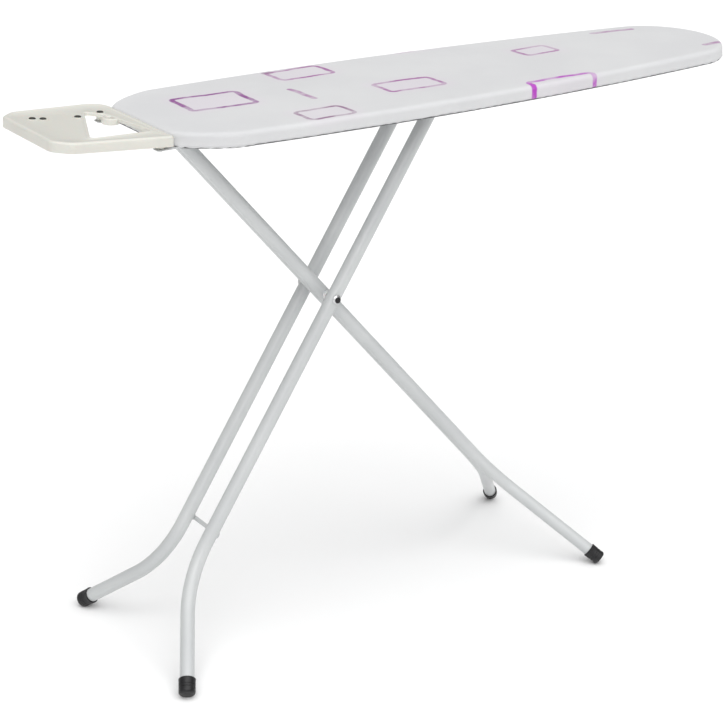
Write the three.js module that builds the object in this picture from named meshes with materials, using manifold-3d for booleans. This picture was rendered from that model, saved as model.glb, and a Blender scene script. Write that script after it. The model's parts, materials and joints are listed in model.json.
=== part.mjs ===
// A folding ironing board: a padded, covered board on crossed tubular legs, with an iron rest at its tail.
// Millimetres, +Z up. The design runs along +X from the iron rest to the nose, with X = 0 where the axis of the
// outer leg meets its feet and Y = 0 on the centre plane. The finished group is centred on its footprint.
import * as THREE from "three";
import { mergeVertices } from "three/addons/utils/BufferGeometryUtils.js";
import Module from "manifold-3d";

const wasm = await Module();
wasm.setup();

// ---------- driving dimensions ----------
const gap = 0.3; // between pieces that touch in the real object
const running = 0.35; // radial play of a pin in its hole

const workHeight = 834; // floor to the ironing surface
const boardTailX = 38;
const boardLength = 1048;
const boardWidth = 308;
const tailWidth = 164; // straight edge at the iron rest
const tailRound = 90; // length of each tail corner
const tailShoulder = 292; // full width just past the tail corners
const widestAt = 362; // from the tail to the widest place
const noseRound = 86; // length of the nose rounding
const noseShoulder = 224; // full width where the nose rounding starts

const coverCloth = 1.2;
const coverHem = 16; // how far the cover folds in under the board
const padThick = 5;
const deckSheet = 1.2;
const rimHeight = 10.4;
const rimFlange = 8.5;
const rimSheet = 1.2;
const ventPitch = 62;
const ventRadius = 7.5;

const hingeX = 98; // the inner leg's hinge under the board
const lockX = 516.5; // where the outer leg's slide pins sit at full height
const footAX = 0; // the outer leg's axis at its feet
const footBX = 777; // the inner leg's axis at its feet
const footZ = 8; // centre of a tube's end above the floor
const hingeDrop = 37; // hinge and slide pins below the ironing surface

const tubeA = 22;
const tubeB = 20;
const tubeWall = 1.2;
const spacingB = 20.8;
const legGap = 7.6; // between an inner leg's tube and the outer one beside it
const footSpreadA = 356;
const footSpreadB = 312;
const bendAlongA = 132; // from the feet to the bend, along the leg
const bendAlongB = 179;
const bendRadius = 150;
const kickA = -7.6; // how far the flared feet lean out along X
const kickB = 8.6;
const tubeOverrun = 14; // tube past its top pin

const boltRadius = 4;
const axleRadius = 5;
const slidePinRadius = 5;
const slidePinProud = 7; // slide pin past the release bar
const crossbarRadius = 3.5;
const crossbarAlong = 210; // from the feet to the lower crossbar, along the outer leg
const topBraceRadius = 4;
const topBraceDrop = 22; // from the slide pins down to the top brace, along the leg
const capWall = 1.4;
const capGrip = 19; // rubber foot over the tube
const capSole = 6;

const railSheet = 2;
const railClear = 4; // between an outer tube and the slide rail beside it
const railFlange = 14;
const railLip = 4; // metal left round the slot
const bracketSheet = 2;
const bracketClear = 2.2; // between an inner tube and the hinge bracket's ear
const bracketLength = 38;
const ribHeight = 8;
const ribWidth = 20;
const ribSheet = 1.4;
const tailRibX = 74;
const middleRibX = 320;
const noseRibClear = 69; // from the end of the slide rails to the nose rib

const restLength = 171; // iron rest, along its own slope
const restWidth = 228;
const restNoseWidth = 160; // straight edge at the far left end
const restCornerRun = 22;
const restTaper = 12; // how much narrower each side is at the far left end
const restHeight = 15;
const restTilt = 3.2; // degrees, rising away from the board
const restSkin = 3.5;
const restWall = 2.6;
const restGap = 0.6; // between the rest and the covered board
const openingLip = 5; // depth of the wall round the rest's opening
const studRadius = 4.8;
const studHeight = 1.6;
const strapY = 92;
const strapWidth = 16;
const strapSheet = 2;
const screwRadius = 1.8;

const leverSheet = 3;
const leverBeside = 8; // between a slide rail and the release bar
const leverDepth = 8;
const leverFrom = 400;
const leverPivotClear = 21; // from the end of the slide rails to the release bar's pivot
const leverPinRadius = 3;
const leverClear = 2.2; // release bar above the slide pin's highest path

// ---------- derived places ----------
const spacingA = spacingB + tubeB + tubeA + 2 * legGap;
const bracketY = (spacingB + tubeB) / 2 + bracketClear;
const railY = (spacingA + tubeA) / 2 + railClear;
const leverY = railY + railSheet + leverBeside;
const slidePinEnd = leverY + leverSheet + slidePinProud;
const surfaceZ = workHeight;
const coverUnderZ = surfaceZ - coverCloth;
const padTopZ = coverUnderZ - gap;
const padUnderZ = padTopZ - padThick;
const deckTopZ = padUnderZ - gap;
const deckUnderZ = deckTopZ - deckSheet;
const hangZ = deckUnderZ - gap; // top of all that hangs under the deck
const rimUnderZ = hangZ - rimHeight;
const hemTopZ = rimUnderZ - gap;
const hemUnderZ = hemTopZ - coverCloth;
const rimInset = coverCloth + gap;
const noseX = boardTailX + boardLength;
const hingeZ = workHeight - hingeDrop;
const restRightX = boardTailX - restGap;
const restLeftX = restRightX - restLength;
const restSlope = THREE.MathUtils.degToRad(restTilt);
const restEndX = restRightX - restLength * Math.cos(restSlope) - restHeight * Math.sin(restSlope); // once tilted

const slopeA = (lockX - footAX) / (hingeZ - footZ);
const slopeB = (footBX - hingeX) / (hingeZ - footZ);
const pivotZ = footZ + (footBX - footAX) / (slopeA + slopeB);
const pivotX = footAX + slopeA * (pivotZ - footZ);
const angleA = Math.atan2(hingeZ - footZ, lockX - footAX);
const angleB = Math.atan2(hingeZ - footZ, footBX - hingeX);
const reachA = (hingeZ - pivotZ) / Math.sin(angleA); // pivot to slide pins
const reachB = (hingeZ - pivotZ) / Math.sin(angleB); // pivot to hinge
const pinRise = slidePinPath();
const slotFrom = lockX - slidePinRadius - running - 1;
const slotTo = hingeX + reachA + reachB + slidePinRadius + running + 1;
const slotUnderZ = hingeZ + pinRise.least - slidePinRadius - running;
const slotTopZ = hingeZ + pinRise.most + slidePinRadius + running;
const railEnd = 12; // rail past each end of its slot
const railFrom = slotFrom - railEnd;
const railTo = slotTo + railEnd;
const leverPivotX = railTo + leverPivotClear;

// The lowest and highest place of the slide pins, from their resting height, while both legs fold at one fixed ratio.
function slidePinPath() {
  let least = 0;
  let most = 0;
  for (let i = 0; i <= 40; i++) {
    const left = 1 - i / 40;
    const rise = reachA * Math.sin(angleA * left) - reachB * Math.sin(angleB * left);
    least = Math.min(least, rise);
    most = Math.max(most, rise);
  }
  return { least, most };
}

// ---------- materials ----------
function finish(color, roughness, metalness) {
  return new THREE.MeshStandardMaterial({ color, roughness, metalness });
}
const looks = {
  cloth: finish(0xdfdfe4, 0.9, 0),
  felt: finish(0xe8e6df, 0.95, 0),
  paint: finish(0xc4c8c8, 0.4, 0.3),
  deck: finish(0xd4d6d8, 0.5, 0.3),
  steel: finish(0xb0b2b5, 0.35, 0.9),
  blackSteel: finish(0x1c1c1e, 0.45, 0.4),
  rubber: finish(0x17181a, 0.8, 0),
  cream: finish(0xe6e4d8, 0.5, 0),
  grip: finish(0x2a2b2e, 0.6, 0),
  white: finish(0xe4e6e8, 0.5, 0),
};

// ---------- solids ----------
function solid(geometry) {
  const bare = geometry.index ? geometry.toNonIndexed() : geometry.clone();
  bare.deleteAttribute("normal");
  bare.deleteAttribute("uv");
  const merged = mergeVertices(bare, 1e-3);
  return new wasm.Manifold(
    new wasm.Mesh({
      numProp: 3,
      vertProperties: new Float32Array(merged.attributes.position.array),
      triVerts: new Uint32Array(merged.index.array),
    }),
  );
}

function surface(made) {
  const mesh = made.getMesh();
  const geometry = new THREE.BufferGeometry();
  geometry.setAttribute("position", new THREE.BufferAttribute(mesh.vertProperties, 3));
  geometry.setIndex(new THREE.BufferAttribute(mesh.triVerts, 1));
  geometry.computeVertexNormals();
  return geometry;
}

const part = new THREE.Group();

function add(name, made, material) {
  const mesh = new THREE.Mesh(surface(made), material);
  mesh.name = name;
  part.add(mesh);
}

function block(x0, x1, y0, y1, z0, z1) {
  const geometry = new THREE.BoxGeometry(x1 - x0, y1 - y0, z1 - z0);
  geometry.translate((x0 + x1) / 2, (y0 + y1) / 2, (z0 + z1) / 2);
  return solid(geometry);
}

function shapeOf(points, holes = []) {
  const shape = new THREE.Shape(points);
  shape.holes = holes.map((hole) => new THREE.Path(hole));
  return shape;
}

// A flat outline in X and Y, raised from z0 to z1.
function raised(points, z0, z1, holes = []) {
  const geometry = new THREE.ExtrudeGeometry(shapeOf(points, holes), { depth: z1 - z0, bevelEnabled: false });
  geometry.translate(0, 0, z0);
  return solid(geometry);
}

// A profile in X and Z, drawn out along Y from y0 to y1.
function drawnAcross(points, y0, y1, holes = []) {
  const geometry = new THREE.ExtrudeGeometry(shapeOf(points, holes), { depth: y1 - y0, bevelEnabled: false });
  geometry.rotateX(Math.PI / 2);
  geometry.translate(0, y1, 0);
  return solid(geometry);
}

// A round bar along Y.
function barAcross(x, z, y0, y1, radius, sides = 16) {
  const geometry = new THREE.CylinderGeometry(radius, radius, y1 - y0, sides);
  geometry.translate(x, (y0 + y1) / 2, z);
  return solid(geometry);
}

// A round peg along Z.
function peg(x, y, z0, z1, radius, sides = 14) {
  const geometry = new THREE.CylinderGeometry(radius, radius, z1 - z0, sides);
  geometry.rotateX(Math.PI / 2);
  geometry.translate(x, y, (z0 + z1) / 2);
  return solid(geometry);
}

// A turned piece: profile points are [radius, height], the height running from base along direction.
function turned(profile, base, direction, sides = 18) {
  const geometry = new THREE.LatheGeometry(
    profile.map(([r, h]) => new THREE.Vector2(r, h)),
    sides,
  );
  const up = new THREE.Vector3(0, 1, 0);
  geometry.applyQuaternion(new THREE.Quaternion().setFromUnitVectors(up, direction));
  geometry.translate(base.x, base.y, base.z);
  return solid(geometry);
}

function circlePoints(radius, sides, x = 0, y = 0) {
  return Array.from({ length: sides }, (_, i) => {
    const a = (2 * Math.PI * i) / sides;
    return new THREE.Vector2(x + radius * Math.cos(a), y + radius * Math.sin(a));
  });
}

// A closed outline with its corners rounded: each corner is [x, y, radius].
function roundedOutline(corners, steps = 5) {
  const points = [];
  corners.forEach(([x, y, radius], i) => {
    const corner = new THREE.Vector2(x, y);
    const before = corners[(i + corners.length - 1) % corners.length];
    const after = corners[(i + 1) % corners.length];
    const a = new THREE.Vector2(before[0] - x, before[1] - y).normalize();
    const b = new THREE.Vector2(after[0] - x, after[1] - y).normalize();
    const half = Math.acos(THREE.MathUtils.clamp(a.dot(b), -1, 1)) / 2;
    const start = corner.clone().addScaledVector(a, radius / Math.tan(half));
    const end = corner.clone().addScaledVector(b, radius / Math.tan(half));
    const curve = new THREE.QuadraticBezierCurve(start, corner, end);
    points.push(...(radius > 0 ? curve.getPoints(steps) : [corner]));
  });
  return points;
}

// A convex, anticlockwise outline moved inwards by a distance.
function inset(points, distance) {
  const n = points.length;
  return points.map((p, i) => {
    const a = new THREE.Vector2().subVectors(p, points[(i + n - 1) % n]).normalize();
    const b = new THREE.Vector2().subVectors(points[(i + 1) % n], p).normalize();
    const normal = new THREE.Vector2(-a.y - b.y, a.x + b.x).normalize();
    const stretch = distance / (-normal.x * a.y + normal.y * a.x);
    return p.clone().addScaledVector(normal, stretch);
  });
}

// ---------- the board's outline ----------
function sideHalfWidth(x) {
  const toTail = widestAt - tailRound;
  const toNose = boardLength - noseRound - widestAt;
  const loss = x < widestAt ? boardWidth - tailShoulder : boardWidth - noseShoulder;
  const along = x < widestAt ? (widestAt - x) / toTail : (x - widestAt) / toNose;
  return (boardWidth - loss * along * along) / 2;
}

function halfOutline() {
  const points = [];
  const tailPower = 2 / 1.5;
  const nosePower = 2 / 2.1;
  for (let i = 0; i < 7; i++) {
    const turn = (i / 7) * (Math.PI / 2);
    const x = tailRound * (1 - Math.cos(turn) ** tailPower);
    const width = tailWidth / 2 + (sideHalfWidth(x) - tailWidth / 2) * Math.sin(turn) ** tailPower;
    points.push([x, width]);
  }
  const noseStart = boardLength - noseRound;
  for (let i = 0; i < 10; i++) {
    const x = tailRound + ((noseStart - tailRound) * i) / 10;
    points.push([x, sideHalfWidth(x)]);
  }
  for (let i = 0; i < 9; i++) {
    const turn = (i / 9) * (Math.PI / 2);
    const x = noseStart + noseRound * Math.sin(turn) ** nosePower;
    points.push([x, sideHalfWidth(x) * Math.cos(turn) ** nosePower]);
  }
  return points;
}

const half = halfOutline();
const boardOutline = [
  ...half.map(([x, y]) => new THREE.Vector2(boardTailX + x, -y)),
  new THREE.Vector2(noseX, 0),
  ...half.map(([x, y]) => new THREE.Vector2(boardTailX + x, y)).reverse(),
];

function slab(distance, z0, z1, holes = []) {
  return raised(inset(boardOutline, distance), z0, z1, holes);
}

function edgeBand(outer, inner, z0, z1) {
  return slab(outer, z0, z1, [inset(boardOutline, inner)]);
}

// ---------- padded top ----------
add("cover_top", slab(0, coverUnderZ, surfaceZ), looks.cloth);
add("pad", slab(rimInset, padUnderZ, padTopZ), looks.felt);
add(
  "cover_skirt",
  edgeBand(0, coverCloth, hemUnderZ, padTopZ).add(edgeBand(0, coverHem, hemUnderZ, hemTopZ)),
  looks.cloth,
);

// ---------- deck, rim and ribs ----------
function vents() {
  const holes = [];
  const columns = Math.floor((boardLength - 2 * ventPitch) / ventPitch);
  const rows = Math.floor(boardWidth / 2 / ventPitch) + 1;
  for (let i = 0; i <= columns; i++) {
    const along = ventPitch * (i + 1);
    const shift = i % 2 ? ventPitch / 2 : 0;
    for (let j = -rows; j <= rows; j++) {
      const y = j * ventPitch + shift;
      const room = Math.min(sideHalfWidth(along), along < tailRound ? tailWidth / 2 : boardWidth);
      if (Math.abs(y) < room - 2.6 * ventRadius) holes.push(circlePoints(ventRadius, 6, boardTailX + along, y));
    }
  }
  return holes;
}
add("deck_panel", slab(rimInset, deckUnderZ, deckTopZ, vents()), looks.deck);

const rimWhole = edgeBand(rimInset, rimInset + rimSheet, rimUnderZ, hangZ).add(
  edgeBand(rimInset, rimInset + rimFlange, rimUnderZ, rimUnderZ + rimSheet),
);
const rimTailEnd = boardTailX + tailRound;
const rimNoseStart = noseX - noseRound;
const farOut = boardWidth;
const rimCuts = {
  rim_tail: [boardTailX - 5, rimTailEnd, -farOut, farOut],
  rim_left: [rimTailEnd + gap, rimNoseStart, 0, farOut],
  rim_right: [rimTailEnd + gap, rimNoseStart, -farOut, 0],
  rim_nose: [rimNoseStart + gap, noseX + 5, -farOut, farOut],
};
for (const [name, [x0, x1, y0, y1]] of Object.entries(rimCuts))
  add(name, rimWhole.intersect(block(x0, x1, y0, y1, rimUnderZ - 1, hangZ + 1)), looks.paint);

// An upward-open channel across the board at x, kept inside the rim.
function rib(x, height) {
  const left = x - ribWidth / 2;
  const right = x + ribWidth / 2;
  const under = hangZ - height;
  const profile = [
    [left, under],
    [right, under],
    [right, hangZ],
    [right - ribSheet, hangZ],
    [right - ribSheet, under + ribSheet],
    [left + ribSheet, under + ribSheet],
    [left + ribSheet, hangZ],
    [left, hangZ],
  ].map(([px, pz]) => new THREE.Vector2(px, pz));
  return drawnAcross(profile, -farOut, farOut);
}
const ribXs = { rib_middle: middleRibX, rib_nose: railTo + noseRibClear + ribWidth / 2 };
for (const [name, x] of Object.entries(ribXs)) {
  const inside = slab(rimInset + rimSheet + gap, hangZ - ribHeight - 1, hangZ + 1);
  add(name, rib(x, ribHeight).intersect(inside), looks.paint);
}
const tailRibHeight = hangZ - hemUnderZ;
const tailRibHoles = [-1, 1].map((side) => peg(tailRibX, side * strapY, hemUnderZ - 1, hangZ, screwRadius + running));
add(
  "rib_tail",
  tailRibHoles.reduce(
    (made, hole) => made.subtract(hole),
    rib(tailRibX, tailRibHeight).intersect(slab(coverHem + gap, hemUnderZ - 1, hangZ + 1)),
  ),
  looks.paint,
);

// ---------- slide rails for the outer leg ----------
const railUnderZ = slotUnderZ - railLip;
for (const [name, side] of [["slide_rail_left", 1], ["slide_rail_right", -1]]) {
  const faces = [side * railY, side * (railY + railSheet)].sort((a, b) => a - b);
  const edges = [side * railY, side * (railY + railFlange)].sort((a, b) => a - b);
  const web = block(railFrom, railTo, ...faces, railUnderZ, hangZ);
  const flange = block(railFrom, railTo, ...edges, hangZ - railSheet, hangZ);
  const slot = block(slotFrom, slotTo, -farOut, farOut, slotUnderZ, slotTopZ);
  add(name, web.add(flange).subtract(slot), looks.paint);
}

// ---------- hinge of the inner leg ----------
const axleHalf = bracketY + bracketSheet + gap;
const earRadius = axleRadius + 6;
for (const [name, side] of [["hinge_bracket_left", 1], ["hinge_bracket_right", -1]]) {
  const faces = [side * bracketY, side * (bracketY + bracketSheet)].sort((a, b) => a - b);
  const edges = [side * bracketY, side * (bracketY + railFlange)].sort((a, b) => a - b);
  const ear = block(hingeX - earRadius, hingeX + earRadius, ...faces, hingeZ, hangZ).add(
    barAcross(hingeX, hingeZ, ...faces, earRadius, 20),
  );
  const foot = block(hingeX - earRadius, hingeX - earRadius + bracketLength, ...edges, hangZ - bracketSheet, hangZ);
  const bore = barAcross(hingeX, hingeZ, -farOut, farOut, axleRadius + running);
  add(name, ear.add(foot).subtract(bore), looks.paint);
}
const axleHead = 1.7;
add(
  "hinge_axle",
  barAcross(hingeX, hingeZ, -axleHalf, axleHalf, axleRadius)
    .add(barAcross(hingeX, hingeZ, axleHalf, axleHalf + axleHead, axleRadius + 2))
    .add(barAcross(hingeX, hingeZ, -axleHalf - axleHead, -axleHalf, axleRadius + 2)),
  looks.steel,
);

// ---------- tubular legs ----------
// A path through stations given in the leg's own plane, with one extrusion step from each to the next.
class StationPath extends THREE.Curve {
  constructor(points) {
    super();
    this.points = points;
  }
  getPointAt(u) {
    return this.points[Math.round(u * (this.points.length - 1))].clone();
  }
  getPoint(u) {
    return this.getPointAt(u);
  }
  getTangentAt(u) {
    const last = this.points.length - 1;
    const i = Math.round(u * last);
    const before = this.points[Math.max(i - 1, 0)];
    const after = this.points[Math.min(i + 1, last)];
    const into = new THREE.Vector3().subVectors(this.points[i], before).normalize();
    const out = new THREE.Vector3().subVectors(after, this.points[i]).normalize();
    return into.add(out).normalize();
  }
}

function leg(spec) {
  const foot = new THREE.Vector3(spec.footX, 0, footZ);
  const top = new THREE.Vector3(spec.topX, 0, hingeZ);
  const along = new THREE.Vector3().subVectors(top, foot);
  const length = along.length();
  along.normalize();
  const towardsBoard = new THREE.Vector3(-along.z, 0, along.x).multiplyScalar(Math.sign(spec.topX - spec.footX));
  const at = (s, y, lift = 0) =>
    foot.clone().addScaledVector(along, s).addScaledVector(towardsBoard, lift).setY(y);
  return { ...spec, length, along, towardsBoard, at };
}

// Centre line of one tube: straight down from the top, round the bend and out to the foot.
function tubePoints(l, side) {
  const top = new THREE.Vector2(l.length + tubeOverrun, l.spacing / 2);
  const bend = new THREE.Vector2(l.bendAlong, l.spacing / 2);
  const foot = new THREE.Vector2(0, l.footSpread / 2);
  const up = top.clone().sub(bend).normalize();
  const down = foot.clone().sub(bend).normalize();
  const open = Math.acos(up.dot(down)) / 2;
  const centre = bend.clone().addScaledVector(up.clone().add(down).normalize(), bendRadius / Math.sin(open));
  const from = bend.clone().addScaledVector(up, bendRadius / Math.tan(open)).sub(centre);
  const to = bend.clone().addScaledVector(down, bendRadius / Math.tan(open)).sub(centre);
  const sweep = Math.atan2(from.cross(to), from.dot(to));
  const flat = [top];
  const steps = 7;
  for (let i = 0; i <= steps; i++)
    flat.push(from.clone().rotateAround(new THREE.Vector2(), (sweep * i) / steps).add(centre));
  flat.push(foot);
  return flat.map((p) => {
    const lean = l.kick * Math.max(0, 1 - p.x / l.bendAlong);
    return l.at(p.x, side * p.y).add(new THREE.Vector3(lean, 0, 0));
  });
}

function tubeAlong(points, radius, wall) {
  const ring = shapeOf(circlePoints(radius, 18), [circlePoints(radius - wall, 12)]);
  const geometry = new THREE.ExtrudeGeometry(ring, {
    steps: points.length - 1,
    extrudePath: new StationPath(points),
    bevelEnabled: false,
  });
  return solid(geometry);
}

const legs = [
  leg({
    name: "leg_a",
    footX: footAX,
    topX: lockX,
    tube: tubeA,
    spacing: spacingA,
    footSpread: footSpreadA,
    bendAlong: bendAlongA,
    kick: kickA,
    topPin: slidePinRadius,
  }),
  leg({
    name: "leg_b",
    footX: footBX,
    topX: hingeX,
    tube: tubeB,
    spacing: spacingB,
    footSpread: footSpreadB,
    bendAlong: bendAlongB,
    kick: kickB,
    topPin: axleRadius,
  }),
];
const floorCut = block(-farOut - 400, noseX + 400, -footSpreadA, footSpreadA, -60, 0);

for (const l of legs) {
  for (const [sideName, side] of [["left", 1], ["right", -1]]) {
    const points = tubePoints(l, side);
    const last = points.length - 1;
    const outward = new THREE.Vector3().subVectors(points[last], points[last - 1]).normalize();
    const soleEnd = points[last].clone();
    const tubeEnd = soleEnd.clone().addScaledVector(outward, -capSole - gap);
    const centreLine = [...points.slice(0, last), tubeEnd];
    const radius = l.tube / 2;
    const tube = tubeAlong(centreLine, radius, tubeWall)
      .subtract(barAcross(pivotX, pivotZ, -farOut, farOut, boltRadius + running))
      .subtract(barAcross(l.topX, hingeZ, -farOut, farOut, l.topPin + running));
    add(`${l.name}_tube_${sideName}`, tube, looks.paint);

    const capOut = radius + gap + capWall;
    const capLength = capGrip + capSole;
    const foot = turned(
      [
        [0, 0],
        [capOut - 2.5, 0],
        [capOut, 2.5],
        [capOut, capLength],
        [radius + gap, capLength],
        [radius + gap, capSole],
        [0, capSole],
      ],
      soleEnd,
      outward.clone().negate(),
      20,
    ).subtract(floorCut);
    add(`${l.name}_foot_${sideName}`, foot, looks.rubber);

    const inward = l.along.clone().negate();
    const plug = turned(
      [
        [0, -2.5],
        [radius - 2, -2.5],
        [radius - 0.2, -0.5],
        [radius - 0.2, 0],
        [radius - tubeWall - 2 * gap, 0],
        [radius - tubeWall - 2 * gap, 6],
        [0, 6],
      ],
      points[0].clone().addScaledVector(inward, -gap),
      inward,
      16,
    );
    add(`${l.name}_plug_${sideName}`, plug, looks.grip);
  }
}

// ---------- outer leg: slide pins, braces ----------
const [legA] = legs;
const pinInner = spacingA / 2 - tubeA / 2 - 0.5;
const rollerInner = railY + railSheet + 1.5;
for (const [sideName, side] of [["left", 1], ["right", -1]]) {
  const span = (a, b) => [side * a, side * b].sort((p, q) => p - q);
  const pin = barAcross(lockX, hingeZ, ...span(pinInner, slidePinEnd), slidePinRadius);
  add(`slide_pin_${sideName}`, pin, looks.steel);
  const washerAt = span(rollerInner, rollerInner + 2);
  const washer = barAcross(lockX, hingeZ, ...washerAt, slidePinRadius + 4, 18).subtract(
    barAcross(lockX, hingeZ, -farOut, farOut, slidePinRadius + running),
  );
  add(`slide_washer_${sideName}`, washer, looks.white);
}
function brace(along, lift, radius) {
  const centre = legA.at(along, 0, lift);
  const reach = spacingA / 2 - 2;
  return barAcross(centre.x, centre.z, -reach, reach, radius, 12);
}
add("leg_a_crossbar", brace(crossbarAlong, -(tubeA / 2 + crossbarRadius + gap), crossbarRadius), looks.paint);
const topBraceLift = tubeA / 2 + topBraceRadius + gap;
add("leg_a_top_brace", brace(legA.length - topBraceDrop, topBraceLift, topBraceRadius), looks.paint);

// ---------- scissor pivot ----------
const outerFace = (spacingA + tubeA) / 2;
const spacerFrom = (spacingB + tubeB) / 2 + gap;
const spacerTo = (spacingA - tubeA) / 2 - gap;
const bore = barAcross(pivotX, pivotZ, -farOut, farOut, boltRadius + running);
for (const [sideName, side] of [["left", 1], ["right", -1]]) {
  const span = (a, b) => [side * a, side * b].sort((p, q) => p - q);
  const spacer = barAcross(pivotX, pivotZ, ...span(spacerFrom, spacerTo), boltRadius + 3.5, 18);
  add(`pivot_spacer_${sideName}`, spacer.subtract(bore), looks.white);
  const washer = barAcross(pivotX, pivotZ, ...span(outerFace + gap, outerFace + gap + 1.5), boltRadius + 4, 18);
  add(`pivot_washer_${sideName}`, washer.subtract(bore), looks.steel);
}
const headFrom = outerFace + 2 * gap + 1.5;
const headProfile = [
  [0, 0],
  [boltRadius, 0],
  [boltRadius, 2 * headFrom + 5],
  [0, 2 * headFrom + 5],
];
const head = [
  [0, -3.6],
  [2.7, -3.2],
  [4.6, -1.9],
  [5.3, 0],
  [0, 0],
];
const boltStart = new THREE.Vector3(pivotX, -headFrom, pivotZ);
const acrossY = new THREE.Vector3(0, 1, 0);
add(
  "pivot_bolt",
  turned(headProfile, boltStart, acrossY, 14).add(turned(head, boltStart, acrossY, 18)),
  looks.blackSteel,
);
const nutBlank = barAcross(pivotX, pivotZ, headFrom, headFrom + 4.5, 6.8, 6);
add("pivot_nut", nutBlank.subtract(bore), looks.steel);

// ---------- iron rest ----------
const restHalf = restWidth / 2;
const restOutline = roundedOutline(
  [
    [restLeftX, -restNoseWidth / 2, 22],
    [restLeftX + restCornerRun, -restHalf + restTaper, 24],
    [restRightX, -restHalf, 7],
    [restRightX, restHalf, 34],
    [restLeftX + restCornerRun, restHalf - restTaper, 24],
    [restLeftX, restNoseWidth / 2, 22],
  ],
  5,
);
// The opening's corners, from the right end of the rest and from its centre line.
const openingOutline = (grow) =>
  roundedOutline(
    [
      [restRightX - 113 - grow, -restHalf + 31 - grow, 8],
      [restRightX - 14.5 + grow, -restHalf + 41 - grow, 8],
      [restRightX - 29.5 + grow, restHalf - 78 + grow, 6],
      [restRightX - 52 - grow, restHalf - 50 + grow, 6],
    ],
    4,
  );
const restTopZ = surfaceZ;
const restUnderZ = restTopZ - restHeight;
const eyeX = restRightX - 31.5;
const eyeY = 21;
const eyeOuter = 13;
const eyeInner = 7;
const bossX = restRightX - 13;
const bossUnderZ = hemUnderZ - gap + 0.1;
const studSpots = [
  [restRightX - 138, 50],
  [restRightX - 125, 43],
  [restRightX - 74.5, 37.5],
  [restRightX - 32.5, 53],
];

function restTray() {
  let tray = raised(restOutline, restUnderZ, restTopZ);
  const pocket = raised(inset(restOutline, restWall), restUnderZ - 1, restTopZ - restSkin);
  const collar = raised(openingOutline(restWall), restTopZ - openingLip, restTopZ);
  const eyeCollar = peg(eyeX, eyeY, restTopZ - 2 * openingLip, restTopZ, eyeOuter, 20);
  const keel = block(restLeftX, restRightX - 98, -restWall / 2, restWall / 2, restUnderZ + 3, restTopZ);
  tray = tray.subtract(pocket.subtract(collar).subtract(eyeCollar).subtract(keel));
  tray = tray.subtract(raised(openingOutline(0), restUnderZ - 3, restTopZ + 1));
  tray = tray.add(peg(eyeX, eyeY, restTopZ - 2 * openingLip, restTopZ, eyeOuter, 20));
  tray = tray.subtract(peg(eyeX, eyeY, restUnderZ - 3, restTopZ + 1, eyeInner, 16));
  for (const [x, y] of studSpots)
    tray = tray.subtract(peg(x, y, restTopZ - 1.2, restTopZ + 1, studRadius + gap));
  tray = tray.translate([-restRightX, 0, -restTopZ]).rotate([0, restTilt, 0]).translate([restRightX, 0, restTopZ]);
  for (const side of [-1, 1]) {
    tray = tray.add(peg(bossX, side * strapY, bossUnderZ, restTopZ - 1, 6.5));
    tray = tray.subtract(peg(bossX, side * strapY, bossUnderZ - 1, restTopZ - 6, screwRadius + running));
  }
  return tray;
}
add("rest_tray", restTray(), looks.cream);

const restUp = new THREE.Vector3(Math.sin(restSlope), 0, Math.cos(restSlope));
const onRest = (x, y, height) =>
  new THREE.Vector3(restRightX, y, restTopZ)
    .addScaledVector(new THREE.Vector3(-restUp.z, 0, restUp.x), restRightX - x)
    .addScaledVector(restUp, height);
studSpots.forEach(([x, y], i) => {
  const base = onRest(x, y, -1.2 + gap);
  const tall = studHeight + 1.2 - gap;
  const profile = [
    [0, 0],
    [studRadius, 0],
    [studRadius, tall - 1],
    [studRadius - 1.6, tall],
    [0, tall],
  ];
  add(`rest_stud_${i + 1}`, turned(profile, base, restUp, 14), looks.rubber);
});

const strapTopZ = bossUnderZ - gap;
const strapUnderZ = strapTopZ - strapSheet;
const screwTips = { rest: restTopZ - 7, board: hemUnderZ + ribSheet + 6 };
for (const [sideName, side] of [["left", 1], ["right", -1]]) {
  const y = side * strapY;
  const ends = roundedOutline(
    [
      [bossX - 8, y - strapWidth / 2, 4],
      [tailRibX + 9, y - strapWidth / 2, 4],
      [tailRibX + 9, y + strapWidth / 2, 4],
      [bossX - 8, y + strapWidth / 2, 4],
    ],
    3,
  );
  let strap = raised(ends, strapUnderZ, strapTopZ);
  for (const [where, x, tip] of [["rest", bossX, screwTips.rest], ["board", tailRibX, screwTips.board]]) {
    strap = strap.subtract(peg(x, y, strapUnderZ - 1, strapTopZ + 1, screwRadius + running));
    const profile = [
      [0, -2.4],
      [2.6, -2.2],
      [3.9, -gap],
      [screwRadius, -gap],
      [screwRadius, tip - strapUnderZ],
      [0, tip - strapUnderZ],
    ];
    const base = new THREE.Vector3(x, y, strapUnderZ);
    add(`screw_${where}_${sideName}`, turned(profile, base, new THREE.Vector3(0, 0, 1), 12), looks.steel);
  }
  add(`rest_strap_${sideName}`, strap, looks.paint);
}

// ---------- height release ----------
const leverUnderZ = hingeZ + pinRise.most + slidePinRadius + leverClear;
const leverTopZ = leverUnderZ + leverDepth;
const leverPinZ = (leverUnderZ + leverTopZ) / 2;
const toothPitch = 28;
const toothDepth = 3;
function releaseBar() {
  const profile = [[leverFrom, leverTopZ], [leverFrom, leverUnderZ]];
  for (let x = lockX - 8; x < lockX + 6 * toothPitch; x += toothPitch) {
    profile.push([x, leverUnderZ], [x + 4, leverUnderZ + toothDepth]);
    profile.push([x + 14, leverUnderZ + toothDepth], [x + 14, leverUnderZ]);
  }
  profile.push([leverPivotX + 9, leverUnderZ], [leverPivotX + 9, leverTopZ]);
  const outline = profile.map(([x, z]) => new THREE.Vector2(x, z));
  return drawnAcross(outline, -leverY - leverSheet, -leverY).subtract(
    barAcross(leverPivotX, leverPinZ, -farOut, farOut, leverPinRadius + running),
  );
}
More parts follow.
